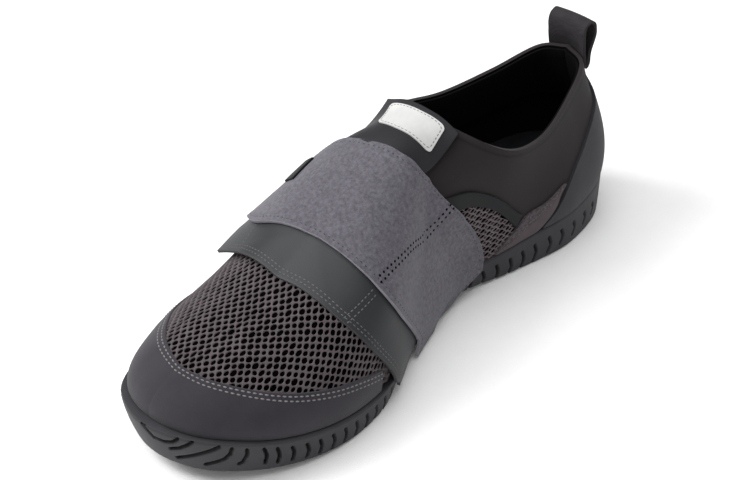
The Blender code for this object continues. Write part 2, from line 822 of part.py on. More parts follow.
def build_toe_cap():
    """Nubuck cap round the toe."""
    places = column_places()
    one_side = np.concatenate([[TOE_CAP_START_S], places[places > TOE_CAP_START_S + 0.01]])
    s = np.concatenate([one_side, one_side[-2::-1]])
    side = np.concatenate([np.full(len(one_side), MEDIAL), np.full(len(one_side) - 1, LATERAL)])
    wrap_plate("toe_cap", s, side, curve(TOE_CAP_EDGE, s)[:, 0], 6, "nubuck")


def build_counter():
    """Nubuck counter round the heel."""
    places = column_places()
    one_side = np.concatenate([places[places < COUNTER_FRONT_S[0] - 0.01], COUNTER_FRONT_S])
    s = np.concatenate([one_side[::-1], one_side[1:]])
    side = np.concatenate([np.full(len(one_side), LATERAL), np.full(len(one_side) - 1, MEDIAL)])
    wrap_plate("heel_counter", s, side, curve(COUNTER_EDGE, s)[:, 0], 7, "nubuck")


def edge_pair_plate(name, table, side, along, across, finish):
    """Plate between two edge lines given in s and v."""
    place = np.linspace(0.0, 1.0, along)
    ends = curve(table, place)
    share = np.linspace(0.0, 1.0, across)
    s = ends[:, 0:1] + (ends[:, 2:3] - ends[:, 0:1]) * share
    v = ends[:, 1:2] + (ends[:, 3:4] - ends[:, 1:2]) * share
    v = np.maximum(v, PANEL_FOOT_V)
    outer = lay(side, s, v, np.full(s.shape, LAY_GAP + PANEL))
    inner = lay(side, s, v, np.full(s.shape, LAY_GAP))
    plate(name, outer, inner, finish)


def instep_points(x, y, height):
    """Points above the top of the instep, found from plan positions."""
    s, v = np.meshgrid(np.linspace(*INSTEP_S, 90), np.linspace(*INSTEP_V, 45), indexing="ij")
    cloud = np.vstack([surface(side, s.ravel(), v.ravel()) for side in SIDES])
    points = np.empty(x.shape + (3,))
    for index in np.ndindex(x.shape):
        away = (cloud[:, 0] - x[index]) ** 2 + (cloud[:, 1] - y[index]) ** 2
        near = cloud[np.argsort(away)[:INSTEP_NEAR]]
        plane = np.column_stack([np.ones(len(near)), near[:, 0] - x[index], near[:, 1] - y[index]])
        level, slope_x, slope_y = np.linalg.lstsq(plane, near[:, 2], rcond=None)[0]
        up = np.array([-slope_x, -slope_y, 1.0])
        up /= np.linalg.norm(up)
        points[index] = np.array([x[index], y[index], level]) + up * height[index]
    return points


def tab_gap(x):
    """Gap under the throat tab, which rises towards its free back edge."""
    return TAB_GAP + TAB_RISE * np.clip((TAB_RISE_X - x) / (TAB_RISE_X - TAB_BACK), 0, None) ** 2


def build_tab():
    """Throat tab on the instep and its plain label patch."""
    across, along = np.meshgrid(np.linspace(0.0, 1.0, 17), np.linspace(0.0, 1.0, 13), indexing="ij")
    y = TAB_Y[0] + (TAB_Y[1] - TAB_Y[0]) * across
    y = TAB_MIDDLE_Y + (y - TAB_MIDDLE_Y) * (1 - TAB_TAPER * along)
    back = TAB_BACK - TAB_SWEEP * ((y - TAB_MIDDLE_Y) / TAB_HALF) ** 2
    x = back + (TAB_FRONT - back) * along
    outer = instep_points(x, y, tab_gap(x) + TAB_THICKNESS)
    inner = instep_points(x, y, tab_gap(x))
    plate("throat_tab", outer, inner, "leather")
    a, b = np.meshgrid(np.linspace(-1.0, 1.0, 13), np.linspace(-1.0, 1.0, 7), indexing="ij")
    y = (LABEL_Y[0] + LABEL_Y[1]) / 2 + (LABEL_Y[1] - LABEL_Y[0]) / 2 * a * (1 - LABEL_ROUND * 0.3 * b ** 4)
    x = (LABEL_X[0] + LABEL_X[1]) / 2 + (LABEL_X[1] - LABEL_X[0]) / 2 * b * (1 - LABEL_ROUND * 0.5 * a ** 4)
    x = x - TAB_SWEEP * 0.6 * ((y - TAB_MIDDLE_Y) / TAB_HALF) ** 2
    under = tab_gap(x) + TAB_THICKNESS + LABEL_GAP
    outer = instep_points(x, y, under + LABEL_THICKNESS)
    inner = instep_points(x, y, under)
    plate("tab_label", outer, inner, "label")


def build_loop():
    """Folded pull loop standing on the back of the heel."""
    line = np.array(LOOP_LINE)
    ring = np.vstack([line[-1:], line, line[:1]])
    along = ring[2:] - ring[:-2]
    along /= np.linalg.norm(along, axis=1)[:, None]
    side = np.column_stack([-along[:, 1], along[:, 0]])
    outer = line + side * LOOP_THICKNESS / 2
    inner = line - side * LOOP_THICKNESS / 2
    places = LOOP_MIDDLE_Y + np.linspace(-0.5, 0.5, 5) * LOOP_WIDTH
    count = len(line)
    points = []
    for y in places:
        for skin in (outer, inner):
            straight = LOOP_STRAIGHTENING * smooth(LOOP_STRAIGHT_Z[0], LOOP_STRAIGHT_Z[1], skin[:, 1])
            bend = (y - LOOP_MIDDLE_Y) ** 2 / LOOP_BEND * (1 - straight)
            points.extend(np.column_stack([skin[:, 0] + bend, np.full(count, y), skin[:, 1]]))
    faces = []
    layer = 2 * count
    for i in range(count):
        j = (i + 1) % count
        for k in range(len(places) - 1):
            a = k * layer
            b = a + layer
            faces.append((a + i, a + j, b + j, b + i))
            faces.append((a + count + i, b + count + i, b + count + j, a + count + j))
        for a in (0, (len(places) - 1) * layer):
            faces.append((a + i, a + j, a + count + j, a + count + i))
    new_object("pull_loop", points, faces, "webbing")


def main():
    for obj in list(bpy.data.objects):
        bpy.data.objects.remove(obj, do_unlink=True)
    build_sole()
    build_insole()
    build_upper()
    build_toe_cap()
    build_counter()
    for side, word in ((MEDIAL, "medial"), (LATERAL, "lateral")):
        edge_pair_plate("side_wedge_" + word, WEDGE_EDGES, side, 9, 3, "nubuck")
        edge_pair_plate("arch_trim_" + word, TRIM_EDGES, side, 11, 3, "trim")
    build_strap()
    build_keeper()
    build_tab()
    build_loop()


main()
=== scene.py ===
"""Visual model of a low slip-on strap sneaker for the right foot.

Lengths in the tables and in the size fields are millimetres unless a name says otherwise. Each side of
the shoe is described by s, from 0 at the back of the heel to 1 at the tip of the toe, and by v, from 0
where the upper meets the sole to 1 at the collar's rim or the ridge of the instep.
"""
import logging
import math
from dataclasses import dataclass
from enum import Enum
from typing import Callable, Sequence

import bpy
import numpy as np
from mathutils import Matrix, Vector


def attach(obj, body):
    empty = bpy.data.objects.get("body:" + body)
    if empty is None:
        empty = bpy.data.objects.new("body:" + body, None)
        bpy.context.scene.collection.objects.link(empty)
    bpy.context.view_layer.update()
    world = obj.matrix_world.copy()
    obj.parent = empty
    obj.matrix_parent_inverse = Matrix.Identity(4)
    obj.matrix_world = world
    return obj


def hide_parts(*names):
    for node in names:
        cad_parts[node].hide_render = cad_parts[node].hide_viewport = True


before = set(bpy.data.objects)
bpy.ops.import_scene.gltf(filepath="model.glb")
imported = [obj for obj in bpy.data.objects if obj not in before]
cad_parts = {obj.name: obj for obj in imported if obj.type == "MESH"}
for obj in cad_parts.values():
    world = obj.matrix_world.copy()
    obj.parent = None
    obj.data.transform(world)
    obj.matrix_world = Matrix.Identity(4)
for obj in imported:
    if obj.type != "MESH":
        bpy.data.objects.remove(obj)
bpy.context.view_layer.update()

LOG = logging.getLogger("sneaker")
Array = np.ndarray
Rgb = tuple[float, float, float]
Table = Sequence[Sequence[float]]

MM = 0.001
ORIGIN = np.array([-0.47, 1.85, 0.0])
BODY = "root"
# Point attribute of painted shade: it darkens a surface's colour toward black.
SHADE = "shade"
ROUGHNESS_SWAY = 0.12

MEDIAL_SOLE_EDGE: Table = (
    (-146.5, 3.0), (-135.0, 26.0), (-102.0, 37.0), (-62.0, 32.0), (-25.0, 25.5), (15.0, 34.0),
    (52.0, 51.2), (85.0, 53.0), (117.0, 42.0), (140.0, 21.5), (146.5, 1.0),
)
LATERAL_SOLE_EDGE: Table = (
    (-146.5, 3.0), (-135.0, -20.0), (-102.0, -34.0), (-55.0, -41.0), (-10.0, -46.5), (35.0, -50.0),
    (75.0, -47.0), (113.0, -38.5), (139.5, -20.5), (146.5, 1.0),
)
# x, z of the sole's upper face.
SOLE_TOP: Table = (
    (-150, 26.0), (-130, 23.5), (-110, 21.8), (-85, 20.4), (-60, 18.0), (-30, 14.8),
    (0, 13.0), (50, 13.2), (80, 16.0), (110, 21.0), (130, 26.0), (150, 30.5),
)
# s, inward tuck of the sole's lower edge.
SOLE_TUCK: Table = (
    (0.0, 0.8), (0.15, 0.8), (0.3, 1.8), (0.5, 2.4), (0.7, 2.0), (0.85, 2.6), (0.94, 4.0), (1.0, 5.0),
)
# Places s and falls of the long grooves round the toe; the first is on the medial side alone.
TOE_GROOVES: Sequence[Table] = (
    ((0.999, 0.03), (0.991, 0.12), (0.981, 0.28), (0.966, 0.29), (0.954, 0.20), (0.947, 0.08)),
    ((0.928, 0.05), (0.936, 0.19), (0.946, 0.34), (0.960, 0.46)),
    ((0.896, 0.10), (0.905, 0.22), (0.921, 0.39), (0.940, 0.59), (0.954, 0.73)),
    ((0.881, 0.14), (0.8835, 0.32), (0.8905, 0.49), (0.899, 0.59), (0.916, 0.75)),
    ((0.863, 0.19), (0.8635, 0.37), (0.8685, 0.60), (0.874, 0.68)),
)
# Places s of the short side grooves.
SIDE_SLITS: Sequence[float] = (
    0.020, 0.047, 0.075, 0.1025, 0.130, 0.157, 0.187, 0.2145, 0.239, 0.2655, 0.288, 0.311, 0.335,
    0.359, 0.382, 0.405, 0.428, 0.452, 0.475, 0.498, 0.520, 0.541, 0.562, 0.584, 0.606, 0.628,
    0.6485, 0.669, 0.689, 0.709, 0.7285, 0.748, 0.7677, 0.7863, 0.8063, 0.8256, 0.842,
)
# s, falls of a short groove's two ends.
SLIT_REACH: Table = (
    (0.0, 0.42, 0.68), (0.13, 0.43, 0.70), (0.21, 0.36, 0.76), (0.27, 0.37, 0.92), (0.31, 0.39, 1.0),
    (0.50, 0.34, 1.0), (0.70, 0.29, 0.90), (0.80, 0.27, 0.80), (0.842, 0.19, 0.71), (1.0, 0.2, 0.6),
)
# Medial places that the strap's lower end covers.
STRAP_ON_SOLE: tuple[float, float] = (0.44, 0.615)
# s, x, y, z and inward lean in degrees of the collar's rim.
MEDIAL_COLLAR: Table = (
    (0.00, -132, 3.0, 87.0, 13), (0.08, -127, 16.0, 84.5, 12), (0.17, -106, 24.8, 78.0, 9),
    (0.29, -76, 31.0, 71.5, 8), (0.38, -54, 30.5, 76.5, 20), (0.46, -39, 20.0, 87.0, 50),
    (0.52, -33, 2.0, 92.6, 80),
)
LATERAL_COLLAR: Table = (
    (0.00, -132, 3.0, 87.0, 13), (0.08, -127, -11.0, 84.0, 12), (0.17, -107, -24.0, 74.0, 9),
    (0.29, -76, -32.0, 71.0, 8), (0.38, -56, -33.0, 76.0, 20), (0.46, -42, -22.5, 86.0, 50),
    (0.52, -33, 2.0, 92.6, 80),
)
# s, x, y, z of the ridge of the instep.
RIDGE: Table = (
    (0.52, -33, 2.0, 92.6), (0.58, -14, 2.0, 92.0), (0.65, 12, 2.0, 84.2), (0.75, 42, 3.0, 70.5),
    (0.85, 66, 4.0, 60.5), (0.94, 78, 4.0, 56.5), (1.00, 83, 4.0, 55.0),
)
# s, ledge of the sole, outward lean in degrees, fullness of the wall low down and near the top.
GIRTH: Table = (
    (0.00, 1.6, 10, 24, 24), (0.08, 1.6, 10, 24, 24), (0.17, 1.6, 9, 22, 24), (0.29, 1.8, 5, 20, 22),
    (0.38, 2.0, 3, 22, 22), (0.46, 2.2, 3, 25, 24), (0.52, 2.4, 4, 27, 28), (0.58, 2.6, 6, 27, 31),
    (0.65, 2.8, 9, 26, 31), (0.75, 3.2, 11, 24, 30), (0.85, 3.8, 11, 21, 29), (0.94, 5.2, 9, 18, 29),
    (1.00, 6.8, 8, 17, 31),
)
# s, extra fullness of the lateral wall near its top.
LATERAL_FULLNESS: Table = (
    (0.00, 0.0), (0.46, 0.0), (0.54, 4.0), (0.62, 5.0), (0.72, -6.0), (0.80, -12.0), (0.90, -10.0),
    (1.00, 0.0),
)
# w along the strap, x of its rear edge, x of its front edge.
SUEDE_EDGES: Table = (
    (-1.0, -15.0, 19.0), (-0.6, -24.0, 18.5), (-0.25, -35.0, 18.0), (0.0, -39.5, 19.5),
    (0.13, -40.0, 26.0), (0.32, -36.5, 35.5), (0.46, -30.5, 40.5), (0.57, -22.5, 42.5),
    (0.65, -12.5, 43.6), (0.72, -7.5, 44.2), (0.84, -4.6, 45.0), (1.00, -3.0, 45.8),
    (1.14, -0.8, 46.6), (1.22, 0.2, 47.1), (1.30, 2.4, 47.6), (1.45, 5.0, 47.0),
    (1.62, 6.0, 38.0),
)
LEATHER_EDGES: Table = (
    (-1.0, 8.0, 46.0), (0.0, 8.0, 46.5), (0.13, 11.5, 50.0), (0.32, 23.0, 57.5), (0.55, 31.0, 64.0),
    (0.80, 34.0, 66.5), (1.00, 35.0, 68.0), (1.16, 34.5, 67.5), (1.45, 32.5, 64.5), (1.62, 32.0, 62.0),
)
# x, w of the line of punched holes.
PERFORATION_LINE: Table = (
    (-20.0, 0.617), (-15.2, 0.571), (-10.4, 0.523), (-5.1, 0.480), (2.4, 0.448),
    (11.7, 0.469), (19.1, 0.494), (25.7, 0.514), (31.5, 0.526), (42.0, 0.532),
)
# s, v of the toe cap's upper edge.
TOE_CAP_EDGE: Table = (
    (0.652, 0.140), (0.700, 0.195), (0.745, 0.236), (0.795, 0.287), (0.849, 0.356),
    (0.890, 0.405), (0.940, 0.456), (0.985, 0.496), (1.000, 0.506),
)
# s, v of the counter's upper edge.
COUNTER_EDGE: Table = (
    (0.000, 0.82), (0.030, 0.80), (0.060, 0.72), (0.101, 0.655), (0.133, 0.600), (0.163, 0.520),
    (0.190, 0.432), (0.205, 0.337), (0.218, 0.220), (0.231, 0.120), (0.241, 0.070), (0.251, 0.030),
)
# Place along the piece, s and v of its upper edge, s and v of its lower edge.
WEDGE_EDGES: Table = (
    (0.00, 0.214, 0.365, 0.212, 0.352), (0.15, 0.230, 0.330, 0.223, 0.285),
    (0.30, 0.250, 0.285, 0.231, 0.170), (0.45, 0.271, 0.275, 0.245, 0.078),
    (0.58, 0.287, 0.268, 0.262, 0.012), (0.72, 0.304, 0.180, 0.282, 0.006),
    (0.86, 0.320, 0.104, 0.306, 0.005), (1.00, 0.339, 0.012, 0.332, 0.004),
)
TRIM_EDGES: Table = (
    (0.00, 0.490, 0.600, 0.465, 0.530), (0.15, 0.467, 0.638, 0.438, 0.566),
    (0.35, 0.428, 0.683, 0.410, 0.580), (0.50, 0.401, 0.673, 0.390, 0.560),
    (0.65, 0.372, 0.625, 0.366, 0.505), (0.80, 0.342, 0.523, 0.343, 0.415),
    (0.92, 0.316, 0.397, 0.322, 0.300), (1.00, 0.300, 0.322, 0.307, 0.200),
)
# s, v of the side window's upper limit, of its lower limit and of the top of its backing.
WINDOW_TOP: Table = (
    (0.295, 0.0), (0.305, 0.18), (0.327, 0.33), (0.353, 0.46), (0.378, 0.54), (0.401, 0.58), (0.50, 0.60),
)
WINDOW_FOOT: Table = ((0.25, 0.28), (0.289, 0.28), (0.305, 0.184), (0.321, 0.106), (0.337, 0.02), (0.36, 0.0))
WINDOW_BACKING: Table = ((0.30, 0.10), (0.327, 0.34), (0.353, 0.47), (0.388, 0.58), (0.46, 0.60))
# x, z along the middle of the pull loop, going round.
LOOP_LINE: Table = (
    (-135.4, 79.0), (-134.6, 83.0), (-133.5, 87.5), (-131.3, 92.5), (-130.2, 97.5), (-131.3, 101.3),
    (-134.6, 102.6), (-137.8, 100.8), (-139.2, 96.0), (-139.0, 90.0), (-138.0, 84.5), (-137.4, 79.0),
    (-136.4, 77.8),
)


class Side(Enum):
    """Side of the foot; the value is the sign of Y."""

    MEDIAL = 1
    LATERAL = -1


class Texture(Enum):
    """Kind of surface of a finish."""

    NAP = "nap"
    GRAIN = "grain"
    WEAVE = "weave"
    PLAIN = "plain"


def smooth(start: float, end: float, value: Array | float) -> Array:
    """Ease from 0 at start to 1 at end."""
    t = np.clip((np.asarray(value, float) - start) / (end - start), 0.0, 1.0)
    return t * t * (3.0 - 2.0 * t)


def curve(table: Table | Array, at: Array | float) -> Array:
    """Smooth curve through a table whose first column is the place along it.

    Args:
        table: rows of place and values.
        at: places to read.

    Returns:
        One row of values for each place.
    """
    rows = np.asarray(table, float)
    place, value = rows[:, 0], rows[:, 1:]
    at = np.atleast_1d(np.asarray(at, float))
    step = np.diff(place)
    rate = np.diff(value, axis=0) / step[:, None]
    slope = np.empty_like(value)
    slope[0], slope[-1] = rate[0], rate[-1]
    weight = (step[:-1] + step[1:])[:, None]
    slope[1:-1] = (rate[:-1] * step[1:, None] + rate[1:] * step[:-1, None]) / weight
    i = np.clip(np.searchsorted(place, at, side="right") - 1, 0, len(place) - 2)
    h = step[i][:, None]
    u = (at[:, None] - place[i][:, None]) / h
    start = (1 + 2 * u) * (1 - u) ** 2 * value[i] + u * (1 - u) ** 2 * h * slope[i]
    end = u * u * (3 - 2 * u) * value[i + 1] + u * u * (u - 1) * h * slope[i + 1]
    return start + end


def unit(vectors: Array) -> Array:
    """Rows scaled to length one."""
    return vectors / np.linalg.norm(vectors, axis=-1, keepdims=True)


def run_length(points: Array) -> Array:
    """Running length along a line of points."""
    return np.concatenate([[0.0], np.cumsum(np.linalg.norm(np.diff(points, axis=0), axis=1))])


class Last:
    """The foot form that every piece of the upper is drawn on."""

    throat_s: float = 0.52
    throat_rise: float = 0.10
    throat_ease: float = 0.08
    ridge_end_s: float = 0.98
    seat_gap: float = 0.3
    toe_spring: float = 9.0
    toe_power: float = 1.4
    toe_x: tuple[float, float] = (66.0, 80.0)
    heel_bevel: float = 2.0
    heel_x: tuple[float, float] = (-127.0, 20.0)
    arch_rise: float = 2.4
    arch_x: tuple[float, float] = (-72.0, 94.0)
    rim_pull: float = 3.0
    near: float = 0.004
    near_ridge: float = 0.002
    end_s: float = 0.002
    track_points: int = 1200
    halvings: int = 26

    def __init__(self) -> None:
        """Prepare the fine plan outlines of both sides."""
        self.tracks = {
            Side.MEDIAL: self._track(MEDIAL_SOLE_EDGE),
            Side.LATERAL: self._track(LATERAL_SOLE_EDGE),
        }

    def _track(self, rows: Table) -> tuple[Array, Array]:
        """Fine outline of one side, square to the axis at heel and toe."""
        xy = np.asarray(rows, float)
        before = np.array([xy[1, 0], 2 * xy[0, 1] - xy[1, 1]])
        after = np.array([xy[-2, 0], 2 * xy[-1, 1] - xy[-2, 1]])
        padded = np.vstack([before, xy, after])
        along = run_length(padded)
        even = np.linspace(along[1], along[-2], self.track_points)
        fine = curve(np.column_stack([along, padded]), even)
        return run_length(fine), fine

    def length(self, side: Side) -> float:
        """Length of one side of the sole."""
        return float(self.tracks[side][0][-1])

    def edge(self, side: Side, s: Array, inset: Array | float) -> tuple[Array, Array]:
        """Sole outline moved inward.

        Args:
            side: side of the foot.
            s: places along the side.
            inset: distance inward.

        Returns:
            Plan points and inward directions.
        """
        s = np.atleast_1d(np.asarray(s, float))
        run, fine = self.tracks[side]
        share = run / run[-1]

        def at(q: Array) -> Array:
            """Plan point at a share of the length."""
            return np.stack([np.interp(q, share, fine[:, 0]), np.interp(q, share, fine[:, 1])], -1)

        along = at(np.clip(s + self.near, 0, 1)) - at(np.clip(s - self.near, 0, 1))
        along[s < self.end_s] = (0.0, side.value)
        along[s > 1 - self.end_s] = (0.0, -side.value)
        along = unit(along)
        inward = np.stack([along[:, 1], -along[:, 0]], -1) * side.value
        inset = np.broadcast_to(np.asarray(inset, float), s.shape)
        return at(s) + inward * inset[:, None], inward

    @staticmethod
    def sole_top(x: Array) -> Array:
        """Height of the sole's upper face."""
        return curve(SOLE_TOP, x)[:, 0]

    def sole_bottom(self, x: Array) -> Array:
        """Height of the tread, with toe spring, heel bevel and arch."""
        x = np.atleast_1d(np.asarray(x, float))
        toe = self.toe_spring * np.clip((x - self.toe_x[0]) / self.toe_x[1], 0, 1.05) ** self.toe_power
        heel = self.heel_bevel * np.clip((self.heel_x[0] - x) / self.heel_x[1], 0, 1) ** 2
        arch = np.clip((x - self.arch_x[0]) / self.arch_x[1], 0, 1)
        return toe + heel + self.arch_rise * np.sin(math.pi * arch) ** 2

    def _rib(self, side: Side, s: Array) -> tuple[Array, Array, Array, Array]:
        """Four control points of the wall at s, from the sole up.

        Args:
            side: side of the foot.
            s: places along the side.

        Returns:
            Foot, low handle, high handle and top of each rib.
        """
        girth = curve(GIRTH, s)
        if side is Side.LATERAL:
            girth[:, 3] += curve(LATERAL_FULLNESS, s)[:, 0]
        foot_xy, inward = self.edge(side, s, girth[:, 0])
        foot = np.column_stack([foot_xy, self.sole_top(foot_xy[:, 0]) + self.seat_gap])
        top, arrive = np.empty((len(s), 3)), np.empty((len(s), 3))
        collar = s <= self.throat_s
        if collar.any():
            rim = curve(MEDIAL_COLLAR if side is Side.MEDIAL else LATERAL_COLLAR, s[collar])
            top[collar] = rim[:, :3]
            lean = np.radians(rim[:, 3])[:, None]
            level = unit((top[collar] - foot[collar])[:, :2] + inward[collar] * self.rim_pull)
            arrive[collar] = np.column_stack([level * np.sin(lean), np.cos(lean)])
        vamp = ~collar
        if vamp.any():
            q = s[vamp]
            top[vamp] = curve(RIDGE, q)
            low, high = (np.clip(q + step, self.throat_s, 1) for step in (-self.near_ridge, self.near_ridge))
            ahead = curve(RIDGE, high) - curve(RIDGE, low)
            level = unit((top[vamp] - foot[vamp])[:, :2])
            down = np.column_stack([level, ahead[:, 2] / ahead[:, 0] * level[:, 0]])
            flat = np.column_stack([level, np.full(len(q), self.throat_rise)])
            share = smooth(self.throat_s, self.throat_s + self.throat_ease, q)[:, None]
            arrive[vamp] = unit(down * share + flat * (1 - share))
        lean_out = np.radians(girth[:, 1])[:, None]
        leave = np.column_stack([-inward * np.sin(lean_out), np.cos(lean_out)])
        return foot, foot + leave * girth[:, 2:3], top - arrive * girth[:, 3:4], top

    def surface(self, side: Side, s: Array, v: Array) -> Array:
        """Points of the upper's outer face."""
        a, b, c, d = self._rib(side, s)
        v = v[:, None]
        u = 1 - v
        return u ** 3 * a + 3 * v * u ** 2 * b + 3 * v * v * u * c + v ** 3 * d

    def _own_normal(self, side: Side, s: Array, v: Array) -> Array:
        """Outward normals taken from one side only."""
        low, high = np.clip(s - self.near, 0, 1), np.clip(s + self.near, 0, 1)
        along = self.surface(side, high, v) - self.surface(side, low, v)
        low, high = np.clip(v - self.near, 0, 1), np.clip(v + self.near, 0, 1)
        rise = self.surface(side, s, high) - self.surface(side, s, low)
        return unit(np.cross(along, rise) * -side.value)

    def normals(self, side: Side, s: Array, v: Array) -> Array:
        """Outward normals, shared by both sides at ridge, heel line and toe line."""
        shared = ((v > 0.999) & (s >= self.throat_s - 1e-6)) | (s < 1e-6) | (s > 1 - 1e-6)
        s = np.where(v > 0.85, np.minimum(s, self.ridge_end_s), s)
        own = self._own_normal(side, s, v)
        if shared.any():
            other = Side.LATERAL if side is Side.MEDIAL else Side.MEDIAL
            own[shared] += self._own_normal(other, s[shared], v[shared])
        return unit(own)

    def lay(self, side: Side, s: Array, v: Array, height: Array | float) -> Array:
        """Points a given height above the upper."""
        s, v, height = np.broadcast_arrays(s, v, height)
        flat_s, flat_v = s.ravel().astype(float), v.ravel().astype(float)
        points = self.surface(side, flat_s, flat_v)
        points = points + self.normals(side, flat_s, flat_v) * height.ravel()[:, None]
        return points.reshape(s.shape + (3,))

    def place_at(self, side: Side, v: Array, x: Array) -> Array:
        """Place s where the face at v stands at x."""
        low, high = np.zeros(len(x)), np.ones(len(x))
        for _ in range(self.halvings):
            middle = (low + high) / 2
            behind = self.surface(side, middle, v)[:, 0] < x
            low, high = np.where(behind, middle, low), np.where(behind, high, middle)
        return (low + high) / 2


LAST = Last()


@dataclass(frozen=True)
class Finish:
    """Look of one material: two tones, roughness and a fine relief."""

    name: str
    tone: Rgb
    tint: Rgb
    roughness: float
    texture: Texture = Texture.PLAIN
    mottle: float = 120.0
    relief: float = 1800.0
    depth: float = 0.15
    sheen: float = 0.0
    specular: float = 0.2

    def material(self) -> bpy.types.Material:
        """Build the material.

        Returns:
            Material with a Principled shader.
        """
        made = bpy.data.materials.new(self.name)
        made.use_nodes = True
        made.diffuse_color = self.tone + (1.0,)
        tree = made.node_tree
        shader = tree.nodes["Principled BSDF"]
        shader.inputs["Sheen Weight"].default_value = self.sheen
        shader.inputs["Sheen Roughness"].default_value = 0.6
        shader.inputs["Specular IOR Level"].default_value = self.specular
        surface = tree.nodes.new("ShaderNodeGroup")
        surface.node_tree = surface_group(self.texture)
        given = {
            "Tone": self.tone + (1.0,), "Tint": self.tint + (1.0,), "Mottle": self.mottle,
            "Relief": self.relief, "Roughness": self.roughness,
        }
        for socket, value in given.items():
            surface.inputs[socket].default_value = value
        bump = tree.nodes.new("ShaderNodeBump")
        bump.inputs["Strength"].default_value = 1.0
        bump.inputs["Distance"].default_value = self.depth * MM
        tree.links.new(surface.outputs["Color"], shader.inputs["Base Color"])
        tree.links.new(surface.outputs["Roughness"], shader.inputs["Roughness"])
        tree.links.new(surface.outputs["Height"], bump.inputs["Height"])
        tree.links.new(bump.outputs["Normal"], shader.inputs["Normal"])
        return made


def surface_group(texture: Texture) -> bpy.types.NodeTree:
    """Shader group that mottles two tones, darkens them by the painted shade attribute and gives the relief
    of a kind of surface.

    Args:
        texture: kind of surface.

    Returns:
        The group, built once for each kind.
    """
    name = "surface " + texture.value
    if name in bpy.data.node_groups:
        return bpy.data.node_groups[name]
    group = bpy.data.node_groups.new(name, "ShaderNodeTree")
    for label, kind in (
        ("Tone", "NodeSocketColor"), ("Tint", "NodeSocketColor"), ("Mottle", "NodeSocketFloat"),
        ("Relief", "NodeSocketFloat"), ("Roughness", "NodeSocketFloat"),
    ):
        group.interface.new_socket(label, in_out="INPUT", socket_type=kind)
    for label, kind in (
        ("Color", "NodeSocketColor"), ("Roughness", "NodeSocketFloat"), ("Height", "NodeSocketFloat"),
    ):
        group.interface.new_socket(label, in_out="OUTPUT", socket_type=kind)
    nodes, links = group.nodes, group.links
    given = nodes.new("NodeGroupInput")
    result = nodes.new("NodeGroupOutput")
    coords = nodes.new("ShaderNodeTexCoord")

    def noise(scale_socket: str, detail: float, rough: float) -> bpy.types.Node:
        """Noise on the piece's own coordinates."""
        node = nodes.new("ShaderNodeTexNoise")
        node.inputs["Detail"].default_value = detail
        node.inputs["Roughness"].default_value = rough
        links.new(coords.outputs["Object"], node.inputs["Vector"])
        links.new(given.outputs[scale_socket], node.inputs["Scale"])
        return node

    def ramp(source: bpy.types.NodeSocket, low: float, high: float) -> bpy.types.NodeSocket:
        """Stretch a value between two limits to 0 and 1."""
        node = nodes.new("ShaderNodeMapRange")
        node.inputs["From Min"].default_value = low
        node.inputs["From Max"].default_value = high
        links.new(source, node.inputs["Value"])
        return node.outputs["Result"]

    def math_node(
        kind: str, a: bpy.types.NodeSocket, b: bpy.types.NodeSocket | float
    ) -> bpy.types.NodeSocket:
        """One arithmetic step."""
        node = nodes.new("ShaderNodeMath")
        node.operation = kind
        links.new(a, node.inputs[0])
        if isinstance(b, float):
            node.inputs[1].default_value = b
        else:
            links.new(b, node.inputs[1])
        return node.outputs["Value"]

    cloud = noise("Mottle", 4.0, 0.62)
    fine = noise("Relief", 3.0, 0.7)
    patch = ramp(cloud.outputs["Fac"], 0.34, 0.66)
    height = fine.outputs["Fac"]
    if texture is Texture.NAP:
        fleck = ramp(fine.outputs["Fac"], 0.3, 0.7)
        patch = math_node("ADD", math_node("MULTIPLY", patch, 0.62), math_node("MULTIPLY", fleck, 0.38))
    if texture is Texture.GRAIN:
        cells = nodes.new("ShaderNodeTexVoronoi")
        cells.feature = "DISTANCE_TO_EDGE"
        links.new(coords.outputs["Object"], cells.inputs["Vector"])
        links.new(given.outputs["Relief"], cells.inputs["Scale"])
        height = math_node("ADD", ramp(cells.outputs["Distance"], 0.0, 0.25), height)
    if texture is Texture.WEAVE:
        lines = []
        for axis in ("X", "Z"):
            wave = nodes.new("ShaderNodeTexWave")
            wave.bands_direction = axis
            links.new(coords.outputs["Object"], wave.inputs["Vector"])
            links.new(given.outputs["Relief"], wave.inputs["Scale"])
            lines.append(wave.outputs["Fac"])
        height = math_node("ADD", math_node("MULTIPLY", lines[0], lines[1]), height)
    mix = nodes.new("ShaderNodeMix")
    mix.data_type = "RGBA"
    links.new(patch, mix.inputs["Factor"])
    links.new(given.outputs["Tone"], mix.inputs["A"])
    links.new(given.outputs["Tint"], mix.inputs["B"])
    # Painted shade: the shade attribute mixes the colour toward black, in the sole's grooves and under the
    # collar's rim.
    mark = nodes.new("ShaderNodeAttribute")
    mark.attribute_name = SHADE
    dark = nodes.new("ShaderNodeMix")
    dark.data_type = "RGBA"
    dark.inputs["B"].default_value = (0.003, 0.003, 0.003, 1.0)
    links.new(mark.outputs["Fac"], dark.inputs["Factor"])
    links.new(mix.outputs["Result"], dark.inputs["A"])
    links.new(dark.outputs["Result"], result.inputs["Color"])
    sway = math_node("MULTIPLY", math_node("SUBTRACT", cloud.outputs["Fac"], 0.5), ROUGHNESS_SWAY)
    links.new(math_node("ADD", given.outputs["Roughness"], sway), result.inputs["Roughness"])
    links.new(height, result.inputs["Height"])
    return group


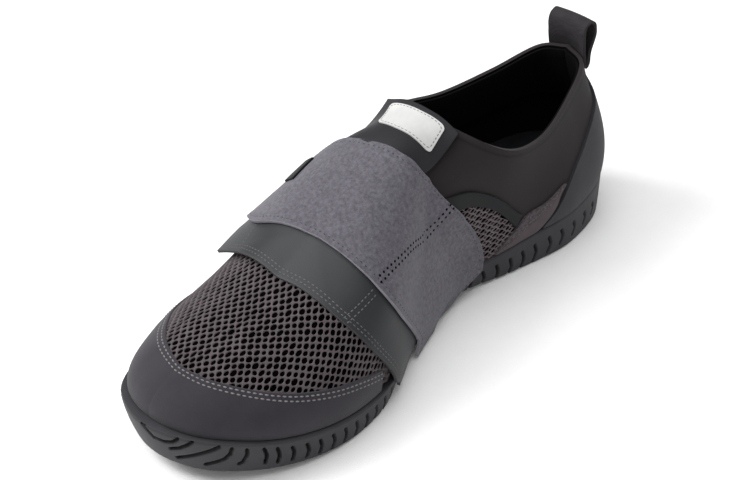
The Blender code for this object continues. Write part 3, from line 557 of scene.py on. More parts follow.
class Finishes:
    """Every finish of the shoe."""

    rubber = Finish(
        "moulded rubber", (0.0223, 0.0218, 0.0254), (0.0285, 0.0279, 0.0324), 0.60, depth=0.05, specular=0.3
    )
    quarter = Finish(
        "stretch cloth", (0.0124, 0.0096, 0.0111), (0.0147, 0.0114, 0.0132), 0.88, Texture.WEAVE,
        relief=900.0, depth=0.05, sheen=0.06,
    )
    # Near black: partly the lining's own colour, partly painted shade inside the shoe.
    lining = Finish(
        "lining cloth", (0.0008, 0.0008, 0.0008), (0.0012, 0.0012, 0.0012), 0.95, depth=0.1, specular=0.1
    )
    # Dark: partly the insole's own colour, partly painted shade inside the shoe.
    insole = Finish(
        "insole cloth", (0.0058, 0.0061, 0.0072), (0.0086, 0.0093, 0.0107), 0.95, depth=0.1, specular=0.1
    )
    net = Finish(
        "net strands", (0.0606, 0.0493, 0.0538), (0.0788, 0.0651, 0.0705), 0.85, relief=2600.0, sheen=0.1
    )
    window_net = Finish(
        "window net strands", (0.0970, 0.0789, 0.0861), (0.1261, 0.1042, 0.1128), 0.85,
        relief=2600.0, sheen=0.1,
    )
    # Near black: partly the backing's own colour, partly painted shade in the nets' holes.
    pit = Finish("net backing", (0.0010, 0.0010, 0.0010), (0.0015, 0.0013, 0.0015), 1.0, specular=0.0)
    nubuck = Finish(
        "nubuck", (0.0191, 0.0170, 0.0224), (0.0287, 0.0256, 0.0320), 0.92, Texture.NAP,
        mottle=70.0, relief=2400.0, depth=0.10, sheen=0.12, specular=0.15,
    )
    counter = Finish(
        "counter nubuck", (0.0153, 0.0152, 0.0187), (0.0249, 0.0241, 0.0294), 0.9, Texture.NAP,
        mottle=75.0, relief=2400.0, depth=0.10, sheen=0.12, specular=0.15,
    )
    wedge_weave = Finish(
        "wedge weave", (0.0512, 0.0430, 0.0472), (0.1299, 0.1120, 0.1213), 0.85, Texture.WEAVE,
        mottle=900.0, relief=700.0, depth=0.3,
    )
    wedge_smooth = Finish(
        "wedge cloth", (0.0710, 0.0573, 0.0628), (0.0846, 0.0688, 0.0753), 0.85, depth=0.05
    )
    trim = Finish(
        "trim band", (0.0045, 0.0051, 0.0059), (0.0058, 0.0067, 0.0076), 0.6, depth=0.055
    )
    leather = Finish(
        "smooth leather", (0.0175, 0.0187, 0.0208), (0.0205, 0.0219, 0.0244), 0.50, Texture.GRAIN,
        mottle=40.0, relief=1500.0, depth=0.02, specular=0.3,
    )
    suede = Finish(
        "suede", (0.048, 0.0445, 0.0550), (0.120, 0.1140, 0.1335), 0.95, Texture.NAP,
        mottle=560.0, relief=1500.0, depth=0.14, sheen=0.15, specular=0.1,
    )
    tab_leather = Finish(
        "tab leather", (0.0136, 0.0130, 0.0153), (0.0160, 0.0152, 0.0178), 0.55, Texture.GRAIN,
        mottle=40.0, relief=1500.0, depth=0.025,
    )
    # Darker than the tab: partly the cut edge's own colour, partly painted shade along the tab's sides.
    tab_edge_and_shade = Finish("tab cut edge", (0.006, 0.006, 0.0065), (0.008, 0.008, 0.0085), 0.9, specular=0.1)
    # Paler than the suede: partly the raw cut edge's own colour, partly a painted highlight along the edges.
    suede_edge_and_highlight = Finish(
        "suede cut edge", (0.2280, 0.2185, 0.2432), (0.2850, 0.2755, 0.3002), 0.95, specular=0.1
    )
    leather_edge = Finish("leather cut edge", (0.050, 0.050, 0.0525), (0.060, 0.060, 0.0625), 0.8)
    thread = Finish("pale thread", (0.15, 0.142, 0.145), (0.18, 0.175, 0.175), 0.8)
    dim_thread = Finish("grey thread", (0.0945, 0.0918, 0.0959), (0.1148, 0.1121, 0.1161), 0.8)
    dark_thread = Finish("dark thread", (0.0221, 0.0213, 0.0247), (0.0306, 0.0306, 0.0340), 0.85)
    # Painted shade: near-black beads stand in for the punched holes.
    hole = Finish("punched hole", (0.004, 0.0036, 0.0048), (0.005, 0.0045, 0.006), 1.0, specular=0.0)
    label = Finish("label cloth", (0.45, 0.45, 0.441), (0.495, 0.495, 0.486), 0.7, depth=0.08)
    webbing = Finish(
        "webbing", (0.0210, 0.0188, 0.0211), (0.0298, 0.0267, 0.0292), 0.88, Texture.WEAVE,
        relief=650.0, depth=0.15,
    )
    floor = Finish("studio floor", (0.90, 0.90, 0.90), (0.91, 0.91, 0.91), 0.9, specular=0.1)

    _made: dict[str, bpy.types.Material] = {}

    @classmethod
    def get(cls, finish: Finish) -> bpy.types.Material:
        """Material of a finish, built once."""
        if finish.name not in cls._made:
            cls._made[finish.name] = finish.material()
        return cls._made[finish.name]


def select_only(obj: bpy.types.Object) -> None:
    """Make one object the active one and the only one selected."""
    bpy.ops.object.select_all(action="DESELECT")
    bpy.context.view_layer.objects.active = obj
    obj.select_set(True)


def edit_mode(obj: bpy.types.Object) -> None:
    """Open one object alone in edit mode with all of it selected."""
    select_only(obj)
    bpy.ops.object.mode_set(mode="EDIT")
    bpy.ops.mesh.select_all(action="SELECT")


def weld(obj: bpy.types.Object, reach: float = 0.00002, outward: bool = True) -> None:
    """Join points closer than the reach in metres and turn the faces one way."""
    edit_mode(obj)
    bpy.ops.mesh.remove_doubles(threshold=reach)
    if outward:
        bpy.ops.mesh.normals_make_consistent(inside=False)
    bpy.ops.object.mode_set(mode="OBJECT")


def flip(obj: bpy.types.Object) -> None:
    """Turn all faces of a piece round."""
    edit_mode(obj)
    bpy.ops.mesh.flip_normals()
    bpy.ops.object.mode_set(mode="OBJECT")


def mesh_object(name: str, points: Array, faces: Sequence[Sequence[int]]) -> bpy.types.Object:
    """Object from points in the tables' frame and faces."""
    mesh = bpy.data.meshes.new(name)
    mesh.from_pydata(((points - ORIGIN) * MM).tolist(), [], faces)
    obj = bpy.data.objects.new(name, mesh)
    bpy.context.scene.collection.objects.link(obj)
    return obj


def apply_modifier(obj: bpy.types.Object, kind: str, **values: object) -> None:
    """Add a modifier to an object and apply it."""
    modifier = obj.modifiers.new(kind.title(), kind)
    for key, value in values.items():
        setattr(modifier, key, value)
    select_only(obj)
    bpy.ops.object.modifier_apply(modifier=modifier.name)


def grid_object(name: str, points: Array, shade: Array | None = None) -> bpy.types.Object:
    """Grid primitive set on a surface.

    Args:
        name: object name.
        points: rows by columns of points in the tables' frame.
        shade: painted shade of each point, darkening its colour toward black from 0 to 1.

    Returns:
        The object, with its place in its mesh.
    """
    rows, columns = points.shape[:2]
    bpy.ops.object.select_all(action="DESELECT")
    bpy.ops.mesh.primitive_grid_add(x_subdivisions=columns - 1, y_subdivisions=rows - 1, size=1.0)
    obj = bpy.context.object
    obj.name = name
    obj.data.name = name
    obj.data.vertices.foreach_set("co", ((points.reshape(-1, 3) - ORIGIN) * MM).ravel())
    if shade is not None:
        marks = obj.data.attributes.new(SHADE, "FLOAT", "POINT")
        marks.data.foreach_set("value", np.asarray(shade, dtype=np.float32).ravel())
    obj.data.update()
    return obj


def face_outward(obj: bpy.types.Object, outward: Array) -> None:
    """Turn an open sheet so that its first face looks the given way."""
    if np.dot(np.array(obj.data.polygons[0].normal), outward) < 0:
        flip(obj)


def finish_piece(
    obj: bpy.types.Object, finish: Finish, node: str | None = None, angle: float = 40.0
) -> bpy.types.Object:
    """Shade a piece, give it its materials and join it to the frame."""
    select_only(obj)
    bpy.ops.object.shade_smooth_by_angle(angle=math.radians(angle))
    if not obj.data.materials:
        obj.data.materials.append(Finishes.get(finish))
    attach(obj, BODY)
    if node is not None:
        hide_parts(node)
    LOG.info("%s: %d faces", obj.name, len(obj.data.polygons))
    return obj


def thick_sheet(
    name: str, points: Array, outward: Array, thickness: float, round_mm: float, tones: Sequence[Finish] = ()
) -> bpy.types.Object:
    """Sheet with thickness and rounded edges."""
    obj = grid_object(name, points)
    face_outward(obj, outward)
    for tone in tones:
        obj.data.materials.append(Finishes.get(tone))
    apply_modifier(
        obj, "SOLIDIFY", thickness=thickness * MM, offset=1.0, use_rim=True,
        material_offset_rim=max(len(tones) - 1, 0),
    )
    round_edges(obj, round_mm, 50.0, len(tones) - 1)
    return obj


def round_edges(obj: bpy.types.Object, round_mm: float, angle: float = 55.0, material: int = -1) -> None:
    """Round the edges sharper than an angle in degrees, with a material of their own if asked."""
    apply_modifier(
        obj, "BEVEL", width=round_mm * MM, segments=3, limit_method="ANGLE",
        angle_limit=math.radians(angle), material=material,
    )


@dataclass
class Bead:
    """Small repeated shape, modelled once and copied along tracks."""

    length: float
    width: float
    height: float

    def copies(self, name: str, points: Array, along: Array, up: Array) -> bpy.types.Object:
        """Copy the bead to every place and join the copies in one mesh.

        Args:
            name: object name.
            points: places in the tables' frame.
            along: long direction at each place.
            up: outward direction at each place.

        Returns:
            The joined object.
        """
        bpy.ops.object.select_all(action="DESELECT")
        bpy.ops.mesh.primitive_uv_sphere_add(segments=6, ring_count=4, radius=0.5)
        start = bpy.context.object
        edit_mode(start)
        middle = (0.0, 0.0, 0.0)
        bpy.ops.transform.rotate(value=math.pi / 2, orient_axis="Y", center_override=middle)
        bpy.ops.transform.resize(value=(self.length, self.width, self.height), center_override=middle)
        bpy.ops.object.mode_set(mode="OBJECT")
        shape = np.array([vertex.co for vertex in start.data.vertices])
        faces = [tuple(face.vertices) for face in start.data.polygons]
        bpy.data.objects.remove(start, do_unlink=True)
        across = unit(np.cross(up, along))
        up = unit(np.cross(along, across))
        spread = (
            points[:, None]
            + shape[None, :, 0:1] * along[:, None]
            + shape[None, :, 1:2] * across[:, None]
            + shape[None, :, 2:3] * up[:, None]
        )
        count = len(shape)
        every = [tuple(i + k * count for i in face) for k in range(len(points)) for face in faces]
        return mesh_object(name, spread.reshape(-1, 3), every)

    def rows(self, name: str, rows: Sequence[tuple[Array, Array, Array]]) -> bpy.types.Object:
        """Copy the bead along several rows of places, joined in one mesh."""
        return self.copies(name, *(np.vstack(part) for part in zip(*rows)))


def spaced(points: Array, normals: Array, pitch: float, start: float = 0.0) -> tuple[Array, Array, Array]:
    """Even places along a track."""
    run = run_length(points)
    at = np.arange(start, run[-1], pitch)

    def read(rows: Array, where: Array) -> Array:
        """Rows read at running lengths."""
        return np.stack([np.interp(where, run, rows[:, k]) for k in range(3)], -1)

    near = 0.3
    along = read(points, np.minimum(at + near, run[-1])) - read(points, np.maximum(at - near, 0.0))
    return read(points, at), unit(along), unit(read(normals, at))


@dataclass
class Sole:
    """One-piece rubber sole with curved side grooves."""

    columns: int = 680
    rows: int = 30
    groove_half_width: float = 0.66
    groove_depth: float = 2.2
    # Painted shade: how far the grooves' colour is darkened toward black.
    groove_shade: float = 1.0
    side_height: float = 17.0
    bow_heel: float = 0.0055
    bow_toe: float = 0.0022
    # Share of the bow and of the way down at each point of a short groove.
    bow_shape: Table = ((0.0, 0.0), (0.75, 0.3), (1.0, 0.5), (0.75, 0.7), (0.1, 1.0))
    # Inset and drop of the rings on the sole's top.
    top_rings: Table = ((11.0, 0.0), (1.4, 0.0), (0.5, 0.25))
    # Inset, lift and share of the grooves of the rings on the tread.
    tread_rings: Table = ((0.3, 0.35, 1.0), (1.2, 0.0, 0.8), (4.0, 0.0, 0.5), (9.0, 0.0, 0.0))
    tuck_power: float = 1.6
    side_falls: tuple[float, float] = (0.06, 0.95)
    tread_cut: tuple[float, float] = (0.3, 0.7)

    def _lines(self, side: Side) -> list[Array]:
        """Lines of the grooves of one side, as places s and falls from the sole's top to its tread."""
        lines = [np.array(line) for line in TOE_GROOVES[0 if side is Side.MEDIAL else 1:]]
        for place in SIDE_SLITS:
            if side is Side.MEDIAL and STRAP_ON_SOLE[0] < place < STRAP_ON_SOLE[1]:
                continue
            top, low = curve(SLIT_REACH, place)[0]
            bow = self.bow_heel + (self.bow_toe - self.bow_heel) * place
            back, down = np.transpose(self.bow_shape)
            lines.append(np.column_stack([place - back * bow, top + (low - top) * down]))
        return lines

    def _cut(self, side: Side, s: Array, falls: Array) -> Array:
        """How far the grooves cut in, from 0 to 1.

        Args:
            side: side of the foot.
            s: places along the rings.
            falls: share of each ring on the way from the sole's top to its tread.

        Returns:
            Rings by places.
        """
        scale = np.array([LAST.length(side), self.side_height])
        spots = np.stack(np.broadcast_arrays(s[None, :], falls[:, None]), -1) * scale
        nearest = np.full(spots.shape[:2], 99.0)
        for line in self._lines(side):
            pick = np.abs(s - line[:, 0].mean()) < np.ptp(line[:, 0]) / 2 + 0.02
            for start, end in zip(line[:-1] * scale, line[1:] * scale):
                way = end - start
                share = np.clip((spots[:, pick] - start) @ way / (way @ way), 0.0, 1.0)
                away = np.linalg.norm(spots[:, pick] - start - share[..., None] * way, axis=-1)
                nearest[:, pick] = np.minimum(nearest[:, pick], away)
        return np.exp(-((nearest / self.groove_half_width) ** 4))

    def _rings(self, side: Side) -> tuple[Array, Array]:
        """Rings of one side, from the middle of its top to the middle of its tread, and their painted shade,
        dark in the grooves.
        """
        s = np.linspace(0.0, 1.0, self.columns)
        tuck = curve(SOLE_TUCK, s)[:, 0]
        falls = np.concatenate([np.linspace(*self.side_falls, self.rows), [1.0]])
        cuts = self._cut(side, s, falls)
        rings, shade = [], []
        for inset, drop in self.top_rings:
            xy, _ = LAST.edge(side, s, inset)
            rings.append(np.column_stack([xy, LAST.sole_top(xy[:, 0]) - drop]))
            shade.append(np.zeros(len(s)))
        rim, _ = LAST.edge(side, s, 0.0)
        high = LAST.sole_top(rim[:, 0])
        for fall, cut in zip(falls[:-1], cuts[:-1]):
            xy, _ = LAST.edge(side, s, tuck * fall ** self.tuck_power + cut * self.groove_depth)
            low = LAST.sole_bottom(xy[:, 0])
            rings.append(np.column_stack([xy, high + (low - high) * fall]))
            shade.append(cut * self.groove_shade)
        cut = cuts[-1] * self.groove_depth
        for inset, lift, share in self.tread_rings:
            inward, upward = (cut * part * share for part in self.tread_cut)
            xy, _ = LAST.edge(side, s, tuck + inset + inward)
            rings.append(np.column_stack([xy, LAST.sole_bottom(xy[:, 0]) + lift + upward]))
            shade.append(cuts[-1] * self.groove_shade * share)
        return np.array(rings), np.array(shade)

    def build(self) -> None:
        """Make the sole."""
        medial, lateral = self._rings(Side.MEDIAL), self._rings(Side.LATERAL)
        around = [np.concatenate([one, other[::-1], one[:1]], axis=0) for one, other in zip(medial, lateral)]
        obj = grid_object("sole_rubber", around[0], around[1])
        weld(obj)
        finish_piece(obj, Finishes.rubber, "sole", angle=48.0)


@dataclass
class Upper:
    """Hollow stretch-cloth upper, its collar lining and the dark layer inside, near black partly from the
    lining's own colour and partly as painted shade inside the shoe; a painted shade line runs under the
    collar's rim.
    """

    wall: float = 2.0
    columns: int = 130
    rows: int = 44
    lining_v: tuple[float, float] = (0.45, 0.985)
    lining_rows: int = 16
    lining_gap: float = 0.45
    lining_wall: float = 1.0
    # Painted shade of a groove under the collar's rim: place v and width of the dark line, then its darkness.
    rim_shade_line: tuple[float, float] = (0.955, 0.010)
    rim_shade: float = 0.75
    rim_round: float = 0.45
    rim_rows_v: float = 0.92
    rim_rows: int = 14
    heel_inside: tuple[float, float] = (-80.0, 2.0)

    def _places(self) -> Array:
        """Places s of the ribs, closer at heel and toe, one of them at the throat."""
        even = np.linspace(0.0, 1.0, self.columns)
        places = 0.5 * (1 - np.cos(math.pi * even)) / 2 + 0.5 * even
        places[np.argmin(np.abs(places - LAST.throat_s))] = LAST.throat_s
        return places

    def _levels(self) -> Array:
        """Places v of the rows, closer under the rim."""
        low = np.linspace(0.0, self.rim_rows_v, self.rows)[:-1]
        return np.concatenate([low, np.linspace(self.rim_rows_v, 1.0, self.rim_rows)])

    def _shell(
        self, name: str, s: Array, v: Array, height: float, wall: float, finish: Finish
    ) -> bpy.types.Object:
        """Shell over both sides, welded along heel, toe and ridge.

        Args:
            name: object name.
            s: places along the sides.
            v: places up the wall.
            height: height of its outer face.
            wall: thickness added inward.
            finish: finish of its outer face; the inner one is lined with the near-black lining, partly
                painted shade.

        Returns:
            The object.
        """
        grid_s, grid_v = np.meshgrid(s, v, indexing="ij")
        medial = LAST.lay(Side.MEDIAL, grid_s, grid_v, height)
        lateral = LAST.lay(Side.LATERAL, grid_s, grid_v, height)
        # Painted shade: a dark line along the collar just under its rim.
        line = np.exp(-(((grid_v - self.rim_shade_line[0]) / self.rim_shade_line[1]) ** 2)) * (grid_s < LAST.throat_s)
        shade = self.rim_shade * np.concatenate([line[::-1], line[1:]], axis=0)
        obj = grid_object(name, np.concatenate([lateral[::-1], medial[1:]], axis=0), shade)
        weld(obj, outward=False)
        middle = len(obj.data.polygons) // 2
        heel = np.array(obj.data.polygons[middle].center) / MM + ORIGIN
        if np.array(obj.data.polygons[middle].normal)[:2] @ (heel[:2] - self.heel_inside) < 0:
            flip(obj)
        obj.data.materials.append(Finishes.get(finish))
        obj.data.materials.append(Finishes.get(Finishes.lining))
        apply_modifier(obj, "SOLIDIFY", thickness=wall * MM, offset=-1.0, use_rim=True, material_offset=1)
        round_edges(obj, self.rim_round)
        return obj

    def build(self) -> None:
        """Make the upper and the lining behind its rim."""
        places = self._places()
        shell = self._shell("upper_cloth", places, self._levels(), 0.0, self.wall, Finishes.quarter)
        finish_piece(shell, Finishes.quarter, "upper")
        rim = places[places <= LAST.throat_s + 1e-6]
        levels = np.linspace(*self.lining_v, self.lining_rows)
        inside = -self.wall - self.lining_gap
        lining = self._shell("collar_lining", rim, levels, inside, self.lining_wall, Finishes.lining)
        finish_piece(lining, Finishes.lining)
        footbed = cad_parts["insole"].data.materials
        footbed.clear()
        footbed.append(Finishes.get(Finishes.insole))


class Sections:
    """Places on the last found from x and the distance down a cross-section."""

    def __init__(self, side: Side, x: Array, from_top: bool) -> None:
        """Measure the cross-sections.

        Args:
            side: side of the foot.
            x: positions of the sections.
            from_top: measure from the ridge down instead of from the sole up.
        """
        self.x = x
        steps = np.linspace(0.0, 1.0, 60)
        self.runs, self.s, self.v = [], [], []
        for place in x:
            top = self._top(place)
            v = top * (1 - steps) if from_top else top * steps
            s = LAST.place_at(side, v, np.full(len(v), place))
            points = LAST.surface(side, s, v)
            self.runs.append(run_length(points))
            self.s.append(s)
            self.v.append(v)

    @staticmethod
    def _top(x: float) -> float:
        """Highest v that a section at x reaches."""
        end = RIDGE[-1][1]
        if x <= end:
            return 1.0
        v = np.linspace(1.0, 0.0, 300)
        return float(np.interp(x, LAST.surface(Side.MEDIAL, np.ones(300), v)[:, 0], v))

    def locate(self, x: Array, q: Array) -> tuple[Array, Array]:
        """Places at x and distance q along the section."""
        at = np.clip(np.interp(x, self.x, np.arange(len(self.x))), 0, len(self.x) - 1.001)
        low = at.astype(int)
        share = at - low
        s, v = np.empty(len(x)), np.empty(len(x))
        for k in np.unique(low):
            pick = low == k
            for found, rows in ((s, self.s), (v, self.v)):
                before, after = (np.interp(q[pick], self.runs[j], rows[j]) for j in (k, k + 1))
                found[pick] = before * (1 - share[pick]) + after * share[pick]
        return s, v


@dataclass(frozen=True)
class Net:
    """Knitted net with large and small holes, over a near-black backing that is partly painted shade in the
    holes.
    """

    pitch_x: float = 4.3
    pitch_q: float = 3.9
    large: tuple[float, float] = (1.46, 1.06)
    small: tuple[float, float] = (1.18, 0.90)
    unevenness: float = 0.16
    lift: float = 0.75
    finish: Finish = Finishes.net
    # Share of the way from a cell's border to its hole, and height, of each ring.
    profile: Table = ((0.0, 0.0), (0.45, 0.10), (0.85, -0.08), (1.0, -0.45))
    side_points: int = 4
    seed: int = 7

    def _cell(self, size: tuple[float, float]) -> Array:
        """Rings of one diamond cell: x, q and height, from its border to its hole.

        Args:
            size: half-lengths of the hole.

        Returns:
            Rings by points by three values.
        """
        half_x, half_q = self.pitch_x / 2, self.pitch_q / 2
        corners = np.array([[half_x, 0.0], [0.0, half_q], [-half_x, 0.0], [0.0, -half_q], [half_x, 0.0]])
        step = np.arange(self.side_points)[:, None] / self.side_points
        border = np.concatenate([a + (b - a) * step for a, b in zip(corners[:-1], corners[1:])])
        turn = np.arctan2(border[:, 1] / half_q, border[:, 0] / half_x)
        hole = np.column_stack([np.cos(turn) * size[0], np.sin(turn) * size[1]])
        rings = []
        for share, height in self.profile:
            flat = border + (hole - border) * share
            rings.append(np.column_stack([flat, np.full(len(flat), height)]))
        return np.array(rings)

    def build(
        self, name: str, x_range: tuple[float, float], q_range: tuple[float, float],
        locate: Callable[[Array, Array], tuple[Array, Array, Array]],
        inside: Callable[[Array, Array, Array], Array],
    ) -> bpy.types.Object:
        """Make a net over a part of the last.

        Args:
            name: object name.
            x_range: lowest and highest x.
            q_range: lowest and highest distance across.
            locate: gives side sign, s and v from x and q.
            inside: tells which cells to keep from side sign, s and v.

        Returns:
            The net.
        """
        i, j = np.meshgrid(*(
            np.arange(math.floor(low / pitch), math.ceil(high / pitch) + 1)
            for (low, high), pitch in ((x_range, self.pitch_x), (q_range, self.pitch_q))
        ), indexing="ij")
        points, faces = [], []
        random = np.random.default_rng(self.seed)
        for offset, size in ((0.0, self.large), (0.5, self.small)):
            x = ((i + offset) * self.pitch_x).ravel()
            q = ((j + offset) * self.pitch_q).ravel()
            keep = inside(*locate(x, q))
            cell = self._cell(size)
            spots = np.stack([x[keep], q[keep]], -1)
            stretch = 1.0 + random.uniform(-self.unevenness, self.unevenness, (len(spots), 1, 1, 2))
            turned = np.where(np.arange(len(cell))[None, :, None, None] > 0, stretch, 1.0)
            flat = spots[:, None, None, :] + cell[None, :, :, :2] * turned
            height = np.broadcast_to(cell[None, :, :, 2], flat.shape[:3]).ravel() + self.lift
            sign, s, v = locate(flat[..., 0].ravel(), flat[..., 1].ravel())
            placed = np.empty((len(s), 3))
            for side in Side:
                pick = sign == side.value
                if pick.any():
                    placed[pick] = LAST.lay(side, s[pick], v[pick], height[pick])
            first = sum(len(p) for p in points)
            points.append(placed)
            around = cell.shape[1]
            outer = np.arange(len(spots) * len(cell)).reshape(len(spots), len(cell), 1)[:, :-1] * around
            outer, inner = outer + first, outer + first + around
            corner = np.arange(around)
            after = (corner + 1) % around
            quads = np.stack([outer + corner, outer + after, inner + after, inner + corner], -1)
            faces.extend(quads.reshape(-1, 4).tolist())
        obj = mesh_object(name, np.vstack(points), faces)
        weld(obj, 0.00003)
        if np.mean([face.normal[2] for face in obj.data.polygons]) < 0:
            flip(obj)
        return finish_piece(obj, self.finish, angle=80.0)


@dataclass
class Vamp:
    """Open net over the front of the foot."""

    rear_x: float = 40.0
    front_x: float = 128.0
    measured_x: tuple[float, float] = (32.0, 130.0)
    half_q: float = 86.0
    cap_overlap: float = 0.03
    foot_v: float = 0.05
    backing_height: float = 0.2

    def build(self) -> None:
        """Make the backing and the net of the vamp."""
        x = np.linspace(*self.measured_x, 64)
        maps = {side: Sections(side, x, True) for side in Side}

        def locate(px: Array, q: Array) -> tuple[Array, Array, Array]:
            """Side sign, s and v from x and the distance from the ridge."""
            sign = np.where(q >= 0, 1, -1)
            s, v = np.empty(len(px)), np.empty(len(px))
            for side in Side:
                pick = sign == side.value
                if pick.any():
                    s[pick], v[pick] = maps[side].locate(px[pick], np.abs(q[pick]))
            return sign, s, v

        def inside(sign: Array, s: Array, v: Array) -> Array:
            """Cells above the toe cap's edge or, behind it, above the sole."""
            cap_s = TOE_CAP_EDGE[0][0]
            low = np.where(s > cap_s, curve(TOE_CAP_EDGE, np.maximum(s, cap_s))[:, 0], self.foot_v)
            return v > low - self.cap_overlap

        x_range = (self.rear_x, self.front_x)
        Net().build("vamp_net", x_range, (-self.half_q, self.half_q), locate, inside)
        share = np.linspace(0.0, 1.0, 60)
        v = np.linspace(0.02, 1.0, 40)
        halves = []
        for side in (Side.MEDIAL, Side.LATERAL):
            rear = LAST.place_at(side, v, np.full(len(v), self.rear_x))
            s = rear[None] + (1 - rear[None]) * share[:, None]
            halves.append(LAST.lay(side, s, np.broadcast_to(v, s.shape), self.backing_height))
        obj = grid_object("vamp_backing", np.concatenate([halves[0], halves[1][::-1][1:]], axis=0))
        weld(obj)
        finish_piece(obj, Finishes.pit)


@dataclass
class SideWindow:
    """Net window over the waist, under the arched trim."""

    net: Net = Net(3.7, 3.3, (1.42, 0.98), (0.85, 0.68), lift=0.7, finish=Finishes.window_net)
    measured_x: tuple[float, float] = (-75.0, -8.0)
    net_x: tuple[float, float] = (-66.0, -12.0)
    net_q: tuple[float, float] = (1.0, 52.0)
    front_s: float = 0.47
    wedge_overlap: float = 0.04
    backing_height: float = 0.2

    def build(self) -> None:
        """Make the window on both sides."""
        for side in Side:
            self._one(side)

    def _one(self, side: Side) -> None:
        """Make the window of one side."""
        sections = Sections(side, np.linspace(*self.measured_x, 40), False)

        def locate(px: Array, q: Array) -> tuple[Array, Array, Array]:
            """Side sign, s and v from x and the distance above the sole."""
            s, v = sections.locate(px, np.maximum(q, 0.0))
            return np.full(len(px), side.value), s, v

        def inside(sign: Array, s: Array, v: Array) -> Array:
            """Cells between trim, wedge and strap."""
            trim, wedge = (np.interp(s, *np.transpose(rows)) for rows in (WINDOW_TOP, WINDOW_FOOT))
            return (v < trim) & (v > wedge - self.wedge_overlap) & (s < self.front_s)

        word = side.name.lower()
        self.net.build("window_net_" + word, self.net_x, self.net_q, locate, inside)
        ends = WINDOW_BACKING[0][0], WINDOW_BACKING[-1][0]
        s, rise = np.meshgrid(np.linspace(*ends, 24), np.linspace(0.02, 1.0, 20), indexing="ij")
        v = np.interp(s, *np.transpose(WINDOW_BACKING)) * rise
        obj = grid_object("window_backing_" + word, LAST.lay(side, s, v, self.backing_height))
        face_outward(obj, LAST.normals(side, np.array([0.30]), np.array([0.02]))[0])
        finish_piece(obj, Finishes.pit)


@dataclass
class Panels:
    """Nubuck, woven and smooth panels sewn on the upper."""

    base: float = 0.12
    thickness: float = 1.5
    round_mm: float = 0.55
    foot_v: float = 0.004
    cap_start_s: float = 0.652
    stitch_rows: tuple[float, float] = (0.020, 0.046)
    stitch_pitch: float = 2.5
    # Name, edges, points along and across, part between the edges, thickness, finish, slot, replaced node.
    strips: Sequence[tuple] = (
        ("wedge_weave_", WEDGE_EDGES, (60, 9), (0.0, 0.47), 1.5,
         Finishes.wedge_weave, "wedge_cloth", "side_wedge_"),
        ("wedge_cloth_", WEDGE_EDGES, (60, 9), (0.485, 1.0), 1.35,
         Finishes.wedge_smooth, "wedge_cloth", None),
        ("arch_trim_band_", TRIM_EDGES, (70, 10), (0.0, 1.0), 1.4, Finishes.trim, "trim", "arch_trim_"),
    )

    def _wrap(self, name: str, s: Array, sides: list[Side], top: Array, rows: int) -> bpy.types.Object:
        """Panel round an end of the shoe."""
        share = np.linspace(0.0, 1.0, rows)
        grid = np.empty((len(s), rows, 3))
        for side in Side:
            pick = np.array([each is side for each in sides])
            places = np.repeat(s[pick][:, None], rows, axis=1)
            v = self.foot_v + (top[pick][:, None] - self.foot_v) * share
            grid[pick] = LAST.lay(side, places, v, self.base)
        outward = LAST.normals(sides[0], s[:1], np.array([self.foot_v]))[0]
        return thick_sheet(name, grid, outward, self.thickness, self.round_mm)

    def _toe_cap(self) -> None:
        """Toe cap with its double row of stitches."""
        one = 1 - (1 - self.cap_start_s) * (np.linspace(1.0, 0.0, 84) ** 1.15)
        s = np.concatenate([one, one[-2::-1]])
        sides = [Side.MEDIAL] * len(one) + [Side.LATERAL] * (len(one) - 1)
        cap = self._wrap("toe_cap_nubuck", s, sides, curve(TOE_CAP_EDGE, s)[:, 0], 22)
        finish_piece(cap, Finishes.nubuck, "toe_cap")
        rows = []
        for drop in self.stitch_rows:
            dense = np.linspace(self.cap_start_s + 0.004, 1.0, 300)
            points, normals = [], []
            for side, line in ((Side.MEDIAL, dense), (Side.LATERAL, dense[::-1])):
                v = curve(TOE_CAP_EDGE, line)[:, 0] - drop
                points.append(LAST.lay(side, line, v, self.base + self.thickness + 0.02))
                normals.append(LAST.normals(side, line, v))
            rows.append(spaced(np.vstack(points), np.vstack(normals), self.stitch_pitch))
        stitches = Bead(1.75, 0.75, 0.5).rows("toe_cap_stitches", rows)
        finish_piece(stitches, Finishes.thread, angle=180.0)

    def _counter(self) -> None:
        """Heel counter."""
        one = np.concatenate([np.linspace(0.0, 0.17, 46)[:-1], np.linspace(0.17, 0.251, 44)])
        s = np.concatenate([one[::-1], one[1:]])
        sides = [Side.LATERAL] * len(one) + [Side.MEDIAL] * (len(one) - 1)
        counter = self._wrap("heel_counter_nubuck", s, sides, curve(COUNTER_EDGE, s)[:, 0], 34)
        finish_piece(counter, Finishes.counter, "heel_counter")

    def _strip(
        self, name: str, table: Table, side: Side, size: tuple[int, int], part: tuple[float, float],
        thickness: float,
    ) -> bpy.types.Object:
        """Panel between two edge lines."""
        ends = curve(table, np.linspace(0.0, 1.0, size[0]))
        share = np.linspace(part[0], part[1], size[1])
        s = ends[:, 0:1] + (ends[:, 2:3] - ends[:, 0:1]) * share
        v = np.maximum(ends[:, 1:2] + (ends[:, 3:4] - ends[:, 1:2]) * share, self.foot_v)
        outward = LAST.normals(side, s[0, :1], v[0, :1])[0]
        return thick_sheet(name, LAST.lay(side, s, v, self.base), outward, thickness, 0.4)

    def build(self) -> None:
        """Make all panels."""
        self._toe_cap()
        self._counter()
        for side in Side:
            word = side.name.lower()
            for name, edges, size, part, thickness, finish, slot, node in self.strips:
                strip = self._strip(name + word, edges, side, size, part, thickness)
                finish_piece(strip, finish, node and node + word)


